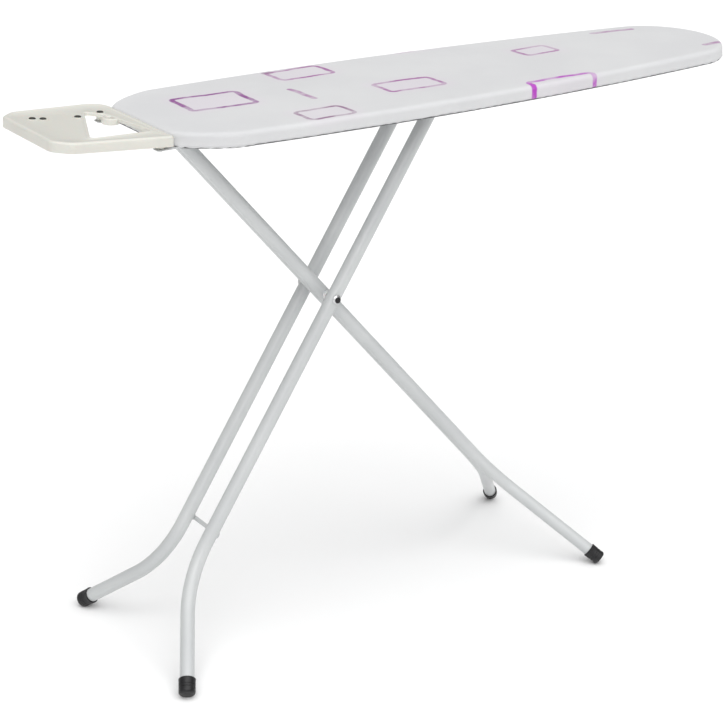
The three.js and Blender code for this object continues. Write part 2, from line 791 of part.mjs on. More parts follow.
add("release_bar", releaseBar(), looks.steel);

const gripOutline = roundedOutline(
  [
    [leverFrom - 8, -leverY - 30, 8],
    [leverFrom + 70, -leverY - 30, 14],
    [leverFrom + 82, -leverY + 4, 2],
    [leverFrom - 8, -leverY + 4, 3],
  ],
  4,
);
const gripUnderZ = leverUnderZ - 7;
const gripTopZ = leverTopZ + 1.5;
const gripSlot = block(
  leverFrom - gap,
  leverFrom + 90,
  -leverY - leverSheet - gap,
  -leverY + gap,
  leverUnderZ - gap,
  leverTopZ + gap,
);
add("release_grip", raised(gripOutline, gripUnderZ, gripTopZ).subtract(gripSlot), looks.grip);

const earInner = -leverY - leverSheet - 2;
const leverEar = block(leverPivotX - 9, leverPivotX + 9, earInner - bracketSheet, earInner, leverPinZ - 9, hangZ);
const leverFoot = block(leverPivotX - 9, leverPivotX + 9, earInner - 14, earInner, hangZ - bracketSheet, hangZ);
const leverBore = barAcross(leverPivotX, leverPinZ, -farOut, farOut, leverPinRadius + running);
add("release_bracket", leverEar.add(leverFoot).subtract(leverBore), looks.paint);
add(
  "release_pin",
  barAcross(leverPivotX, leverPinZ, earInner - bracketSheet - 2, -leverY + 2.5, leverPinRadius, 12),
  looks.steel,
);

part.position.x = -(restEndX + noseX) / 2;

export default part;
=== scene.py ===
import json
import math

import bmesh
import bpy
import numpy as np
from mathutils import Matrix, Vector, noise


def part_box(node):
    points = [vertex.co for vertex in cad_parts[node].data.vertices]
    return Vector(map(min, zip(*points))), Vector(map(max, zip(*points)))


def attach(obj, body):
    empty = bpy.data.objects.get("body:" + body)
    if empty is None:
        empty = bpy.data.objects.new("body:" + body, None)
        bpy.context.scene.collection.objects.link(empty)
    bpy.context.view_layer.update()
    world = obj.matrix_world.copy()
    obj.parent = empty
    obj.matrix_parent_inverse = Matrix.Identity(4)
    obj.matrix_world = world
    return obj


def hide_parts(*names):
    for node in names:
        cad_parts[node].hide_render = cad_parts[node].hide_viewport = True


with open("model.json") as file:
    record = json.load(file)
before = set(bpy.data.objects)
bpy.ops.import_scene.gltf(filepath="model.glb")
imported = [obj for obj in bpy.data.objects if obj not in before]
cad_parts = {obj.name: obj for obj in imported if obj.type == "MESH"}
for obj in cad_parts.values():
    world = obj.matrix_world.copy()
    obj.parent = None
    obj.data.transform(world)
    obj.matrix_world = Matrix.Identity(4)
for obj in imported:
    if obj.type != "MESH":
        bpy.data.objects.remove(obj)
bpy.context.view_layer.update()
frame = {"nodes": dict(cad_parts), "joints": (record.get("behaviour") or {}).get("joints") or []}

mm = 0.001
scene = bpy.context.scene


# -----------------------------------------------------------------------------------------------------------
# The studio: a seamless pale floor under a white dome that gives less light near the horizon, a very wide soft
# lamp overhead and a weak one in front. The camera is by the iron-rest end and looks slightly down the board.
# -----------------------------------------------------------------------------------------------------------
camera_data = bpy.data.cameras.new("camera")
camera_data.sensor_width = 36
camera_data.lens = 103.8
camera = bpy.data.objects.new("camera", camera_data)
scene.collection.objects.link(camera)
camera.location = (-1.7268, -2.5961, 1.5795)
camera.rotation_euler = (math.radians(90) - 0.3698, 0, -0.5709)
scene.camera = camera
scene.view_settings.view_transform = "Standard"

floor_bm = bmesh.new()
bmesh.ops.create_grid(floor_bm, x_segments=8, y_segments=8, size=300)
floor_mesh = bpy.data.meshes.new("floor")
floor_bm.to_mesh(floor_mesh)
floor_bm.free()
floor = bpy.data.objects.new("floor", floor_mesh)
scene.collection.objects.link(floor)

floor_paint = bpy.data.materials.new("studio floor")
floor_paint.use_nodes = True
floor_shader = floor_paint.node_tree.nodes["Principled BSDF"]
floor_shader.inputs["Base Color"].default_value = (0.95, 0.95, 0.95, 1)
floor_shader.inputs["Roughness"].default_value = 0.9
floor_shader.inputs["Specular IOR Level"].default_value = 0.1
floor_mesh.materials.append(floor_paint)


def node(tree, kind, links=(), **settings):
    """One node, its inputs joined to sockets or set to values, and its own properties set by name."""
    made = tree.nodes.new(kind)
    for name, value in settings.items():
        setattr(made, name, value)
    for key, value in dict(links).items():
        if isinstance(value, bpy.types.NodeSocket):
            tree.links.new(value, made.inputs[key])
        else:
            made.inputs[key].default_value = value
    return made


dome = bpy.data.worlds.new("white dome")
dome.use_nodes = True
tree = dome.node_tree
height = node(tree, "ShaderNodeSeparateXYZ", {0: node(tree, "ShaderNodeTexCoord").outputs["Generated"]})
light = node(tree, "ShaderNodeMapRange", {"Value": height.outputs["Z"], "To Min": 0.12, "To Max": 0.80})
seen = node(tree, "ShaderNodeLightPath").outputs["Is Camera Ray"]
light = node(tree, "ShaderNodeMix", {"Factor": seen, "A": light.outputs["Result"], "B": 1})
tree.links.new(light.outputs["Result"], tree.nodes["Background"].inputs["Strength"])
tree.nodes["Background"].inputs["Color"].default_value = (1, 1, 1, 1)
scene.world = dome

for lamp_name, shines, softness, strength in (
    ("overhead lamp", (0.05, 0.40, -0.91), 70, 1.9),
    ("front lamp", (0.45, 0.78, -0.42), 35, 0.55),
):
    lamp_data = bpy.data.lights.new(lamp_name, "SUN")
    lamp_data.angle = math.radians(softness)
    lamp_data.energy = strength
    lamp = bpy.data.objects.new(lamp_name, lamp_data)
    scene.collection.objects.link(lamp)
    lamp.location = Vector(shines) * -4
    lamp.rotation_euler = Vector(shines).to_track_quat("-Z", "Y").to_euler()


def new_finish(name, slot, **settings):
    """An empty finish: its material, its nodes and its shader, with the even settings put on the shader."""
    material = bpy.data.materials.new(name)
    material.use_nodes = True
    shader = material.node_tree.nodes["Principled BSDF"]
    for socket, value in settings.items():
        shader.inputs[socket.replace("_", " ")].default_value = value
    return material, material.node_tree, shader


def place_on(tree, stretch=(1, 1, 1)):
    """The piece's own coordinates, in metres, stretched for a grain that runs one way."""
    where = node(tree, "ShaderNodeTexCoord")
    return node(tree, "ShaderNodeMapping", {"Vector": where.outputs["Object"], "Scale": stretch}).outputs[0]


def cloudy(tree, where, scale, detail=3.0, rough=0.5):
    """Soft mottling, from 0 to 1, with patches about 1 / scale metres across."""
    settings = {"Vector": where, "Scale": scale, "Detail": detail, "Roughness": rough}
    return node(tree, "ShaderNodeTexNoise", settings).outputs[0]


def spread(tree, value, low, high, to_low, to_high, soft=True):
    """Takes a value from the range low to high into another range."""
    settings = {0: value, 1: low, 2: high, 3: to_low, 4: to_high}
    kind = "SMOOTHSTEP" if soft else "LINEAR"
    return node(tree, "ShaderNodeMapRange", settings, interpolation_type=kind).outputs[0]


def blend_colour(tree, share, first, second, how="MIX"):
    """Mixes two colours by a share that varies over the surface."""
    mixed = node(tree, "ShaderNodeMix", data_type="RGBA", blend_type=how)
    for key, value in ((0, share), (6, first), (7, second)):
        if isinstance(value, bpy.types.NodeSocket):
            tree.links.new(value, mixed.inputs[key])
        else:
            mixed.inputs[key].default_value = value if isinstance(value, float) else (*value, 1)
    return mixed.outputs[2]


def relief(tree, heights):
    """Stacks bumps: each is (height, distance in metres, strength)."""
    normal = None
    for height, distance, strength in heights:
        settings = {"Height": height, "Distance": distance, "Strength": strength}
        if normal is not None:
            settings["Normal"] = normal
        normal = node(tree, "ShaderNodeBump", settings).outputs[0]
    return normal


def coat(tree, shader, tint, rough, heights):
    """Joins the colour, the roughness and the relief to the shader."""
    tree.links.new(tint, shader.inputs["Base Color"])
    tree.links.new(rough, shader.inputs["Roughness"])
    tree.links.new(relief(tree, heights), shader.inputs["Normal"])


def sprayed_paint(name, slot, colour, shade, gloss):
    """Powder coat: an even colour with faint cloudiness, orange peel and a few rubbed spots."""
    material, tree, shader = new_finish(name, slot, Coat_Weight=0.25, Coat_Roughness=0.22, Metallic=0.0)
    where = place_on(tree)
    patches = cloudy(tree, where, 9, 4)
    fine = cloudy(tree, where, 160, 2)
    peel = cloudy(tree, where, 620, 2, 0.55)
    scuffs = spread(tree, cloudy(tree, place_on(tree, (1, 1, 0.35)), 38, 6, 0.7), 0.70, 0.80, 0.0, 0.5)
    tint = blend_colour(tree, spread(tree, patches, 0.3, 0.7, 0.0, 1.0), colour, shade)
    tint = blend_colour(tree, spread(tree, fine, 0.35, 0.65, 0.0, 0.14), tint, shade)
    tint = blend_colour(tree, scuffs, tint, (0.40, 0.41, 0.42))
    coat(
        tree, shader, tint, spread(tree, patches, 0.3, 0.7, gloss, gloss + 0.12),
        ((peel, 0.00012, 0.5), (fine, 0.0003, 0.25)),
    )
    return material


leg_paint = sprayed_paint("leg powder coat", "leg_paint", (0.57, 0.585, 0.585), (0.52, 0.535, 0.54), 0.32)


def as_piece(bm, name):
    """Turns a finished mesh into an object, at the origin with its place in the mesh."""
    mesh = bpy.data.meshes.new(name)
    bm.to_mesh(mesh)
    bm.free()
    piece = bpy.data.objects.new(name, mesh)
    scene.collection.objects.link(piece)
    return piece


def cut_away(piece, cutters):
    """Cuts the shapes of the cutter meshes out of a piece."""
    for cutter_bm in cutters:
        cutter = as_piece(cutter_bm, "cutter")
        cut = piece.modifiers.new("cut", "BOOLEAN")
        cut.object = cutter
        cut.solver = "EXACT"
        bpy.context.view_layer.update()
        old = piece.data
        piece.data = bpy.data.meshes.new_from_object(
            piece.evaluated_get(bpy.context.evaluated_depsgraph_get())
        )
        piece.modifiers.clear()
        bpy.data.meshes.remove(old)
        bpy.data.objects.remove(cutter)
    return piece


def fit(piece, body, finish, *stands_for, crease=38):
    """Shades a piece, gives it its finish and fixes it to the body that carries it."""
    mesh = piece.data
    mesh.materials.clear()
    mesh.materials.append(finish)
    mesh.shade_smooth()
    mesh.set_sharp_from_angle(angle=math.radians(crease))
    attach(piece, body)
    if stands_for:
        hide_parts(*stands_for)
    return piece


def make(bm, name, body, finish, *stands_for, crease=38):
    """Makes a finished mesh a piece and fits it."""
    return fit(as_piece(bm, name), body, finish, *stands_for, crease=crease)


def drawn_on(bm, edges):
    """Extrudes a ring of edges, and gives the new ring's edges and its points."""
    made = bmesh.ops.extrude_edge_only(bm, edges=edges)["geom"]
    points = [v for v in made if isinstance(v, bmesh.types.BMVert)]
    return [e for e in made if isinstance(e, bmesh.types.BMEdge)], points


def drill_bit(centre, radius, length=0.4):
    """A round cutter that lies across the board."""
    bm = bmesh.new()
    turn = Matrix.Translation(centre) @ Matrix.Rotation(math.radians(90), 4, "X")
    bmesh.ops.create_cone(
        bm, cap_ends=True, segments=32, radius1=radius, radius2=radius, depth=length, matrix=turn
    )
    return bm


joint_at = {j["name"]: Vector(j["pos_m"]) for j in frame["joints"]}
hinge_at = joint_at["leg_b_fold"]
pivot_at = joint_at["leg_a_fold"]
slide_low, slide_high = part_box("slide_pin_left")
slide_at = Vector(((slide_low.x + slide_high.x) / 2, 0, (slide_low.z + slide_high.z) / 2))

foot_height = 8 * mm  # a tube's end above the floor
bend_radius = 150 * mm
tube_overrun = 14 * mm  # tube past its top pin
tube_wall = 1.2 * mm
bolt_radius = 4 * mm
pin_radius = 5 * mm
pin_play = 0.35 * mm
press_depth = 1.7 * mm  # how deep the outer tubes are pressed flat at the bolt
press_reach = 27 * mm

legs = {
    "leg_a": dict(top=slide_at, tube=22 * mm, spread=356 * mm, bend=132 * mm, lean=-7.6 * mm),
    "leg_b": dict(top=hinge_at, tube=20 * mm, spread=312 * mm, bend=179 * mm, lean=8.6 * mm),
}
for name, leg in legs.items():
    rise = (leg["top"] - pivot_at).normalized()
    foot = pivot_at - rise * ((pivot_at.z - foot_height) / rise.z)
    leg["along"] = rise
    leg["foot"] = Vector((foot.x, 0, foot.z))
    leg["length"] = (leg["top"] - leg["foot"]).length
    leg["half_spacing"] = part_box(f"{name}_tube_left")[0].y + leg["tube"] / 2


def tube_corners(leg, side):
    """The top, the bend's corner and the foot of one tube's centre line."""
    across = Vector((0, side * leg["half_spacing"], 0))
    top = leg["foot"] + leg["along"] * (leg["length"] + tube_overrun) + across
    corner = leg["foot"] + leg["along"] * leg["bend"] + across
    foot = leg["foot"] + Vector((leg["lean"], side * leg["spread"] / 2, 0))
    return top, corner, foot


def bent_tube(top, corner, foot, radius, cut_back, pressed=None):
    """A hollow tube drawn down from its top, round one bend and out to its foot, open at both ends."""
    up = (top - corner).normalized()
    out = (foot - corner).normalized()
    half_open = up.angle(out) / 2
    straight = bend_radius / math.tan(half_open)
    bend_start = corner + up * straight
    bend_centre = corner + (up + out).normalized() * (bend_radius / math.sin(half_open))
    bend_axis = (-up).cross(out).normalized()

    bm = bmesh.new()
    stand = Matrix.Translation(top) @ (-up).to_track_quat("Z", "Y").to_matrix().to_4x4()
    bmesh.ops.create_circle(bm, cap_ends=False, segments=36, radius=radius, matrix=stand)
    ring = bm.edges[:]

    def stretched(ring, step):
        ring, points = drawn_on(bm, ring)
        bmesh.ops.translate(bm, verts=points, vec=step)
        return ring

    run = (top - bend_start).length
    stops = [run * i / 14 for i in range(1, 15)]
    if pressed is not None:
        at_bolt = (top - pressed).dot(up)
        stops += [at_bolt + press_reach * i / 10 for i in range(-10, 11)]
    done = 0
    for stop in sorted(stops):
        ring = stretched(ring, -up * (stop - done))
        done = stop
    spun = bmesh.ops.spin(
        bm, geom=ring, cent=bend_centre, axis=bend_axis, angle=math.pi - 2 * half_open, steps=16
    )["geom_last"]
    ring = [e for e in spun if isinstance(e, bmesh.types.BMEdge)]
    end = foot - out * cut_back
    for _ in range(4):
        ring = stretched(ring, (end - (corner + out * straight)) / 4)
    bmesh.ops.recalc_face_normals(bm, faces=bm.faces)
    bmesh.ops.solidify(bm, geom=bm.faces[:], thickness=tube_wall)

    if pressed is not None:
        side = math.copysign(1, top.y)
        for v in bm.verts:
            along = abs((v.co - pressed).dot(up)) / press_reach
            if along < 1:
                press = press_depth * min(1, 1.6 * (1 - along * along) ** 2)
                outside = (v.co.y - top.y) * side
                reach = radius - press
                over = outside - reach
                if over > 0:
                    v.co.y = top.y + side * (reach + 0.06 * over)
                elif outside > reach - 2.6 * tube_wall:
                    v.co.y -= side * press * 0.35 * (1 - (reach - outside) / (2.6 * tube_wall))
    return bm


cap_sole = 6 * mm
cap_gap = 0.3 * mm
sides = {"left": 1, "right": -1}
for leg_name, leg in legs.items():
    radius = leg["tube"] / 2
    for side_name, side in sides.items():
        top, corner, foot = tube_corners(leg, side)
        bolt_spot = pivot_at + Vector((0, side * leg["half_spacing"], 0)) if leg_name == "leg_a" else None
        tube = as_piece(
            bent_tube(top, corner, foot, radius, cap_sole + cap_gap, bolt_spot), f"{leg_name}_{side_name}_tube"
        )
        top_pin = leg["top"] + Vector((0, side * leg["half_spacing"], 0))
        bolt_hole = pivot_at + Vector((0, side * leg["half_spacing"], 0))
        cut_away(
            tube,
            [
                drill_bit(top_pin, pin_radius + pin_play, 0.06),
                drill_bit(bolt_hole, bolt_radius + pin_play, 0.06),
            ],
        )
        fit(tube, leg_name, leg_paint, f"{leg_name}_tube_{side_name}", crease=45)


# -----------------------------------------------------------------------------------------------------------
# Rubber feet: black moulded caps pushed over the tube ends, with a rolled mouth, two grip rings and a rounded
# sole worn flat where it stands on the floor.
# -----------------------------------------------------------------------------------------------------------
def turned(profile, base, up, steps=48):
    """A turned shape: profile points are (radius, height), the height running from base along up."""
    bm = bmesh.new()
    points = [bm.verts.new((radius, 0, height)) for radius, height in profile]
    edges = [bm.edges.new(pair) for pair in zip(points, points[1:])]
    bmesh.ops.spin(
        bm,
        geom=points + edges,
        cent=(0, 0, 0),
        axis=(0, 0, 1),
        angle=math.radians(360),
        steps=steps,
        use_merge=True,
    )
    bmesh.ops.remove_doubles(bm, verts=bm.verts, dist=0.00001)
    bmesh.ops.recalc_face_normals(bm, faces=bm.faces)
    bm.transform(Matrix.Translation(base) @ Vector(up).to_track_quat("Z", "Y").to_matrix().to_4x4())
    return bm


def rounded_corner(centre, radius, start, end, steps=5):
    """Points of an arc in a turning profile, angles in degrees from the radius direction."""
    angles = [math.radians(start + (end - start) * i / steps) for i in range(steps + 1)]
    return [(centre[0] + radius * math.cos(a), centre[1] + radius * math.sin(a)) for a in angles]


foot_rubber, tree, shader = new_finish("black foot rubber", "foot_rubber", Specular_IOR_Level=0.4)
where = place_on(tree)
dust = cloudy(tree, where, 55, 5, 0.65)
grain = cloudy(tree, where, 900, 2)
low_down = node(tree, "ShaderNodeSeparateXYZ", {0: where}).outputs[2]
scuffed = spread(tree, low_down, 0.0, 0.014, 0.55, 0.0)
tint = blend_colour(tree, spread(tree, dust, 0.4, 0.75, 0.0, 0.5), (0.008, 0.008, 0.009), (0.03, 0.03, 0.032))
tint = blend_colour(tree, scuffed, tint, (0.085, 0.083, 0.08))
coat(
    tree, shader, tint, spread(tree, dust, 0.3, 0.7, 0.34, 0.6),
    ((grain, 0.0002, 0.6), (dust, 0.0004, 0.3)),
)

cap_wall = 1.4 * mm
cap_grip = 19 * mm
for leg_name, leg in legs.items():
    inside = leg["tube"] / 2 + cap_gap
    outside = inside + cap_wall
    tall = cap_sole + cap_grip
    profile = [(0, 0), (outside - 4 * mm, 0)]
    profile += rounded_corner((outside - 4 * mm, 4 * mm), 4 * mm, -90, 0)
    for ring_height in (9 * mm, 13.5 * mm):
        profile += [(outside, ring_height - 1 * mm), (outside - 0.6 * mm, ring_height - 0.6 * mm)]
        profile += [(outside - 0.6 * mm, ring_height + 0.6 * mm), (outside, ring_height + 1 * mm)]
    profile += rounded_corner((outside - 0.6 * mm, tall - 1.1 * mm), 1.1 * mm, -40, 90, 4)
    profile += [(inside, tall - 0.4 * mm), (inside, cap_sole), (0, cap_sole)]
    for side_name, side in sides.items():
        top, corner, foot = tube_corners(leg, side)
        cap = turned(profile, foot, corner - foot)
        flat = bmesh.ops.bisect_plane(
            cap, geom=cap.verts[:] + cap.edges[:] + cap.faces[:], plane_co=(0, 0, 0), plane_no=(0, 0, -1),
            clear_outer=True,
        )
        rim = [e for e in flat["geom_cut"] if isinstance(e, bmesh.types.BMEdge)]
        bmesh.ops.holes_fill(cap, edges=rim)
        bmesh.ops.recalc_face_normals(cap, faces=cap.faces)
        make(cap, f"{leg_name}_{side_name}_foot", leg_name, foot_rubber, f"{leg_name}_foot_{side_name}")


# -----------------------------------------------------------------------------------------------------------
# Tube plugs: dark moulded caps pressed into the four upper tube ends, domed, with a collar on the tube's rim.
# -----------------------------------------------------------------------------------------------------------
def moulded(name, slot, colour, shade, rough, gloss=0.5, glow=0.0):
    """Injection-moulded plastic: even colour with slight flow marks and a fine spark texture."""
    material, tree, shader = new_finish(name, slot, Specular_IOR_Level=gloss, Subsurface_Weight=glow)
    shader.inputs["Subsurface Scale"].default_value = 0.004
    where = place_on(tree)
    flow = cloudy(tree, place_on(tree, (1, 0.6, 1)), 14, 4)
    spark = cloudy(tree, where, 1100, 2)
    handled = spread(tree, cloudy(tree, where, 60, 5, 0.7), 0.6, 0.8, 0.0, 0.25)
    tint = blend_colour(tree, spread(tree, flow, 0.3, 0.7, 0.0, 1.0), colour, shade)
    tint = blend_colour(tree, handled, tint, tuple(0.75 * c for c in shade))
    coat(
        tree, shader, tint, spread(tree, flow, 0.3, 0.7, rough, rough + 0.1),
        ((spark, 0.00012, 0.45), (flow, 0.0006, 0.12)),
    )
    return material


dark_plastic = moulded(
    "dark moulded plastic", "dark_plastic", (0.03, 0.031, 0.034), (0.022, 0.022, 0.024), 0.42
)
plug_dome = 2.5 * mm
plug_depth = 6 * mm
for leg_name, leg in legs.items():
    bore = leg["tube"] / 2 - tube_wall - 2 * cap_gap
    rim = leg["tube"] / 2 - 0.2 * mm
    profile = [(0, plug_dome), (rim * 0.45, plug_dome * 0.94), (rim * 0.8, plug_dome * 0.66)]
    profile += [(rim * 0.95, plug_dome * 0.35), (rim, plug_dome * 0.12), (rim, 0), (bore, 0)]
    profile += [(bore, -plug_depth + 0.6 * mm), (bore - 0.6 * mm, -plug_depth), (0, -plug_depth)]
    for side_name, side in sides.items():
        top = tube_corners(leg, side)[0] + leg["along"] * cap_gap
        make(
            turned(profile, top, leg["along"], 40), f"{leg_name}_{side_name}_plug", leg_name,
            dark_plastic, f"{leg_name}_plug_{side_name}",
        )


# -----------------------------------------------------------------------------------------------------------
# Braces of the outer leg: a thin rod below the bend's start and a thicker one near the top, each welded across
# both tubes with a fillet of weld metal at each end and painted with the leg.
# -----------------------------------------------------------------------------------------------------------
def add_to(bm, other):
    """Joins another mesh into this one."""
    carried = bpy.data.meshes.new("carried")
    other.to_mesh(carried)
    other.free()
    bm.from_mesh(carried)
    bpy.data.meshes.remove(carried)


def welded_rod(node_name, towards_tube):
    """A rod along the node, with rounded ends and a lumpy weld bead against each tube."""
    low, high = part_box(node_name)
    centre = (low + high) / 2
    radius = (high.x - low.x) / 2
    half = high.y
    profile = [(0, -half)] + rounded_corner((radius - 1 * mm, 1 * mm - half), 1 * mm, -90, 0, 4)
    profile += rounded_corner((radius - 1 * mm, half - 1 * mm), 1 * mm, 0, 90, 4) + [(0, half)]
    rod = turned(profile, centre, (0, 1, 0), 28)
    bmesh.ops.subdivide_edges(
        rod, edges=[e for e in rod.edges if abs(e.verts[0].co.y - e.verts[1].co.y) > half], cuts=12
    )
    for side in (-1, 1):
        spot = centre + towards_tube * radius * 0.8 + Vector((0, side * legs["leg_a"]["half_spacing"], 0))
        bead = bmesh.new()
        bmesh.ops.create_icosphere(bead, subdivisions=3, radius=1)
        for v in bead.verts:
            lump = 1 + 0.12 * noise.noise(v.co * 2.3 + spot * 90)
            v.co = Vector((v.co.x * radius * 1.25, v.co.y * radius * 1.7, v.co.z * radius * 0.75)) * lump
        bead.transform(Matrix.Translation(spot) @ towards_tube.to_track_quat("Z", "Y").to_matrix().to_4x4())
        add_to(rod, bead)
    return rod


board_side = Vector((-legs["leg_a"]["along"].z, 0, legs["leg_a"]["along"].x))
for node_name, piece_name, towards in (
    ("leg_a_crossbar", "outer_leg_crossbar", board_side),
    ("leg_a_top_brace", "outer_leg_top_brace", -board_side),
):
    make(welded_rod(node_name, towards), piece_name, "leg_a", leg_paint, node_name)


# -----------------------------------------------------------------------------------------------------------
# Scissor pivot: one black bolt through all four tubes with a domed head, cupped washers in the pressed flats,
# white nylon spacers between the legs and a nylon-insert nut on the far side.
# -----------------------------------------------------------------------------------------------------------
def milled(name, slot, colour, shade, rough, metal=1.0):
    """Bare or blackened steel: turned rings, fine scratches and a little tarnish."""
    material, tree, shader = new_finish(name, slot, Metallic=metal, Specular_IOR_Level=0.5)
    scratches = cloudy(tree, place_on(tree, (1, 0.08, 1)), 700, 4, 0.6)
    tarnish = cloudy(tree, place_on(tree), 90, 5, 0.65)
    tint = blend_colour(tree, spread(tree, tarnish, 0.35, 0.7, 0.0, 1.0), colour, shade)
    coat(
        tree, shader, tint, spread(tree, tarnish, 0.3, 0.7, rough, rough + 0.18),
        ((scratches, 0.00008, 0.5), (tarnish, 0.0002, 0.2)),
    )
    return material


black_steel = milled("blackened steel", "black_steel", (0.02, 0.02, 0.022), (0.035, 0.034, 0.033), 0.38, 0.6)
bare_steel = milled("zinc-plated steel", "bare_steel", (0.62, 0.63, 0.64), (0.46, 0.46, 0.45), 0.26)
white_plastic = moulded("white nylon", "white_plastic", (0.74, 0.75, 0.76), (0.70, 0.70, 0.70), 0.38, 0.5, 0.1)


def ring_profile(inner, outer, low, high, soften):
    """A closed profile for a ring with eased edges."""
    points = rounded_corner((outer - soften, low + soften), soften, -90, 0, 3)
    points += rounded_corner((outer - soften, high - soften), soften, 0, 90, 3)
    points += rounded_corner((inner + soften, high - soften), soften, 90, 180, 3)
    points += rounded_corner((inner + soften, low + soften), soften, 180, 270, 3)
    return points + [points[0]]


outer_face = legs["leg_a"]["half_spacing"] + legs["leg_a"]["tube"] / 2
for side_name, side in sides.items():
    low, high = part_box(f"pivot_spacer_{side_name}")
    profile = ring_profile(bolt_radius + pin_play, (high.z - low.z) / 2, 0, high.y - low.y, 0.6 * mm)
    make(
        turned(profile, (pivot_at.x, low.y, pivot_at.z), (0, 1, 0)), f"pivot_{side_name}_spacer",
        "leg_b", white_plastic, f"pivot_spacer_{side_name}",
    )
    seat = outer_face - press_depth + 0.2 * mm
    rim_radius = 7.2 * mm
    cupped = [(bolt_radius + pin_play, 0), (rim_radius - 1.4 * mm, 0), (rim_radius - 0.3 * mm, 0.5 * mm)]
    cupped += [(rim_radius, 1 * mm), (rim_radius - 0.4 * mm, 1.5 * mm), (rim_radius - 2 * mm, 2.4 * mm)]
    cupped += [(bolt_radius + pin_play, 3 * mm), (bolt_radius + pin_play, 0)]
    make(
        turned(cupped, (pivot_at.x, side * seat, pivot_at.z), (0, side, 0)),
        f"pivot_{side_name}_washer", "leg_b", bare_steel, f"pivot_washer_{side_name}",
    )

head_seat = outer_face + 2.1 * mm
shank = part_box("pivot_bolt")[1].y + head_seat
head = 3.6 * mm
head_radius = 4.9 * mm
profile = [(0, -head), (1.6 * mm, -0.97 * head), (2.9 * mm, -0.86 * head), (4 * mm, -0.65 * head)]
profile += [(head_radius - 0.2 * mm, -0.32 * head), (head_radius, -0.4 * mm), (head_radius - 0.4 * mm, 0)]
profile += [(bolt_radius, 0), (bolt_radius, shank - 6 * mm)]
for turn in range(4):
    thread = shank - 6 * mm + turn * 1.25 * mm
    profile += [(bolt_radius - 0.6 * mm, thread + 0.6 * mm), (bolt_radius, thread + 1.1 * mm)]
profile += [(bolt_radius - 1 * mm, shank), (0, shank)]
bolt = as_piece(turned(profile, (pivot_at.x, -head_seat, pivot_at.z), (0, 1, 0)), "scissor_bolt")
fit(bolt, "leg_b", black_steel, "pivot_bolt", crease=30)


def edges_over(bm, degrees):
    """The edges where two faces meet more sharply than this."""
    return [e for e in bm.edges if len(e.link_faces) == 2 and e.calc_face_angle() > math.radians(degrees)]


def ease(bm, width, segments=2, over=32):
    """Rounds off the sharp edges of a piece."""
    bmesh.ops.bevel(
        bm,
        geom=edges_over(bm, over),
        offset=width,
        offset_type="OFFSET",
        segments=segments,
        profile=0.5,
        affect="EDGES",
        material=-1,
        clamp_overlap=True,
    )
    return bm


nut_low, nut_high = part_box("pivot_nut")
nut_tall = nut_high.y - nut_low.y
nut_bm = bmesh.new()
nut_place = Matrix.Translation((pivot_at.x, nut_low.y + nut_tall * 0.36, pivot_at.z))
bmesh.ops.create_cone(
    nut_bm, cap_ends=True, segments=6, radius1=6.7 * mm, radius2=6.7 * mm, depth=nut_tall * 0.72,
    matrix=nut_place @ Matrix.Rotation(math.radians(90), 4, "X"),
)
ease(nut_bm, 0.6 * mm)
nut_bore = drill_bit(pivot_at + Vector((0, nut_low.y, 0)), bolt_radius + 0.1 * mm, 0.04)
nut = cut_away(as_piece(nut_bm, "scissor_nut"), [nut_bore])
fit(nut, "leg_b", bare_steel, "pivot_nut", crease=30)
insert = ring_profile(bolt_radius + 0.1 * mm, 5.6 * mm, 0, nut_tall * 0.28, 0.4 * mm)
insert_at = (pivot_at.x, nut_low.y + nut_tall * 0.72, pivot_at.z)
make(turned(insert, insert_at, (0, 1, 0)), "nut_nylon_insert", "leg_b", white_plastic)


# -----------------------------------------------------------------------------------------------------------
# Hinge of the inner leg: two folded steel ears spot-welded under the deck and a riveted axle through both.
# -----------------------------------------------------------------------------------------------------------
frame_paint = sprayed_paint("frame powder coat", "frame_paint", (0.52, 0.53, 0.535), (0.47, 0.48, 0.485), 0.36)


def merged(node_name):
    """A copy of a folded or cut steel part with its loose triangles merged into flat faces."""
    bm = bmesh.new()
    bm.from_mesh(frame["nodes"][node_name].data)
    bmesh.ops.remove_doubles(bm, verts=bm.verts, dist=0.02 * mm)
    bmesh.ops.dissolve_limit(bm, angle_limit=math.radians(1.5), verts=bm.verts[:], edges=bm.edges[:])
    return bm


def finer(node_name, width, segments=2, over=32):
    """A finer copy of a folded or cut steel part, its edges eased."""
    return ease(merged(node_name), width, segments, over)


for side_name, side in sides.items():
    bracket = as_piece(finer(f"hinge_bracket_{side_name}", 0.45 * mm, 3), f"hinge_{side_name}_ear")
    fit(bracket, "board", frame_paint, f"hinge_bracket_{side_name}")

axle_low, axle_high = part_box("hinge_axle")
axle_radius = pin_radius
rivet = (axle_high.z - axle_low.z) / 2
axle_half = axle_high.y
rivet_tall = 1.7 * mm
half_profile = [(rivet * 0.55, 0.15 * mm), (rivet * 0.9, 0.6 * mm), (rivet, 1.1 * mm), (rivet, rivet_tall)]
profile = [(0, -axle_half)] + [(r, h - axle_half) for r, h in half_profile]
profile += [(axle_radius, rivet_tall - axle_half), (axle_radius, axle_half - rivet_tall)]
profile += [(r, axle_half - h) for r, h in reversed(half_profile)] + [(0, axle_half)]
axle = as_piece(turned(profile, hinge_at, (0, 1, 0)), "hinge_rivet")
fit(axle, "board", bare_steel, "hinge_axle", crease=30)


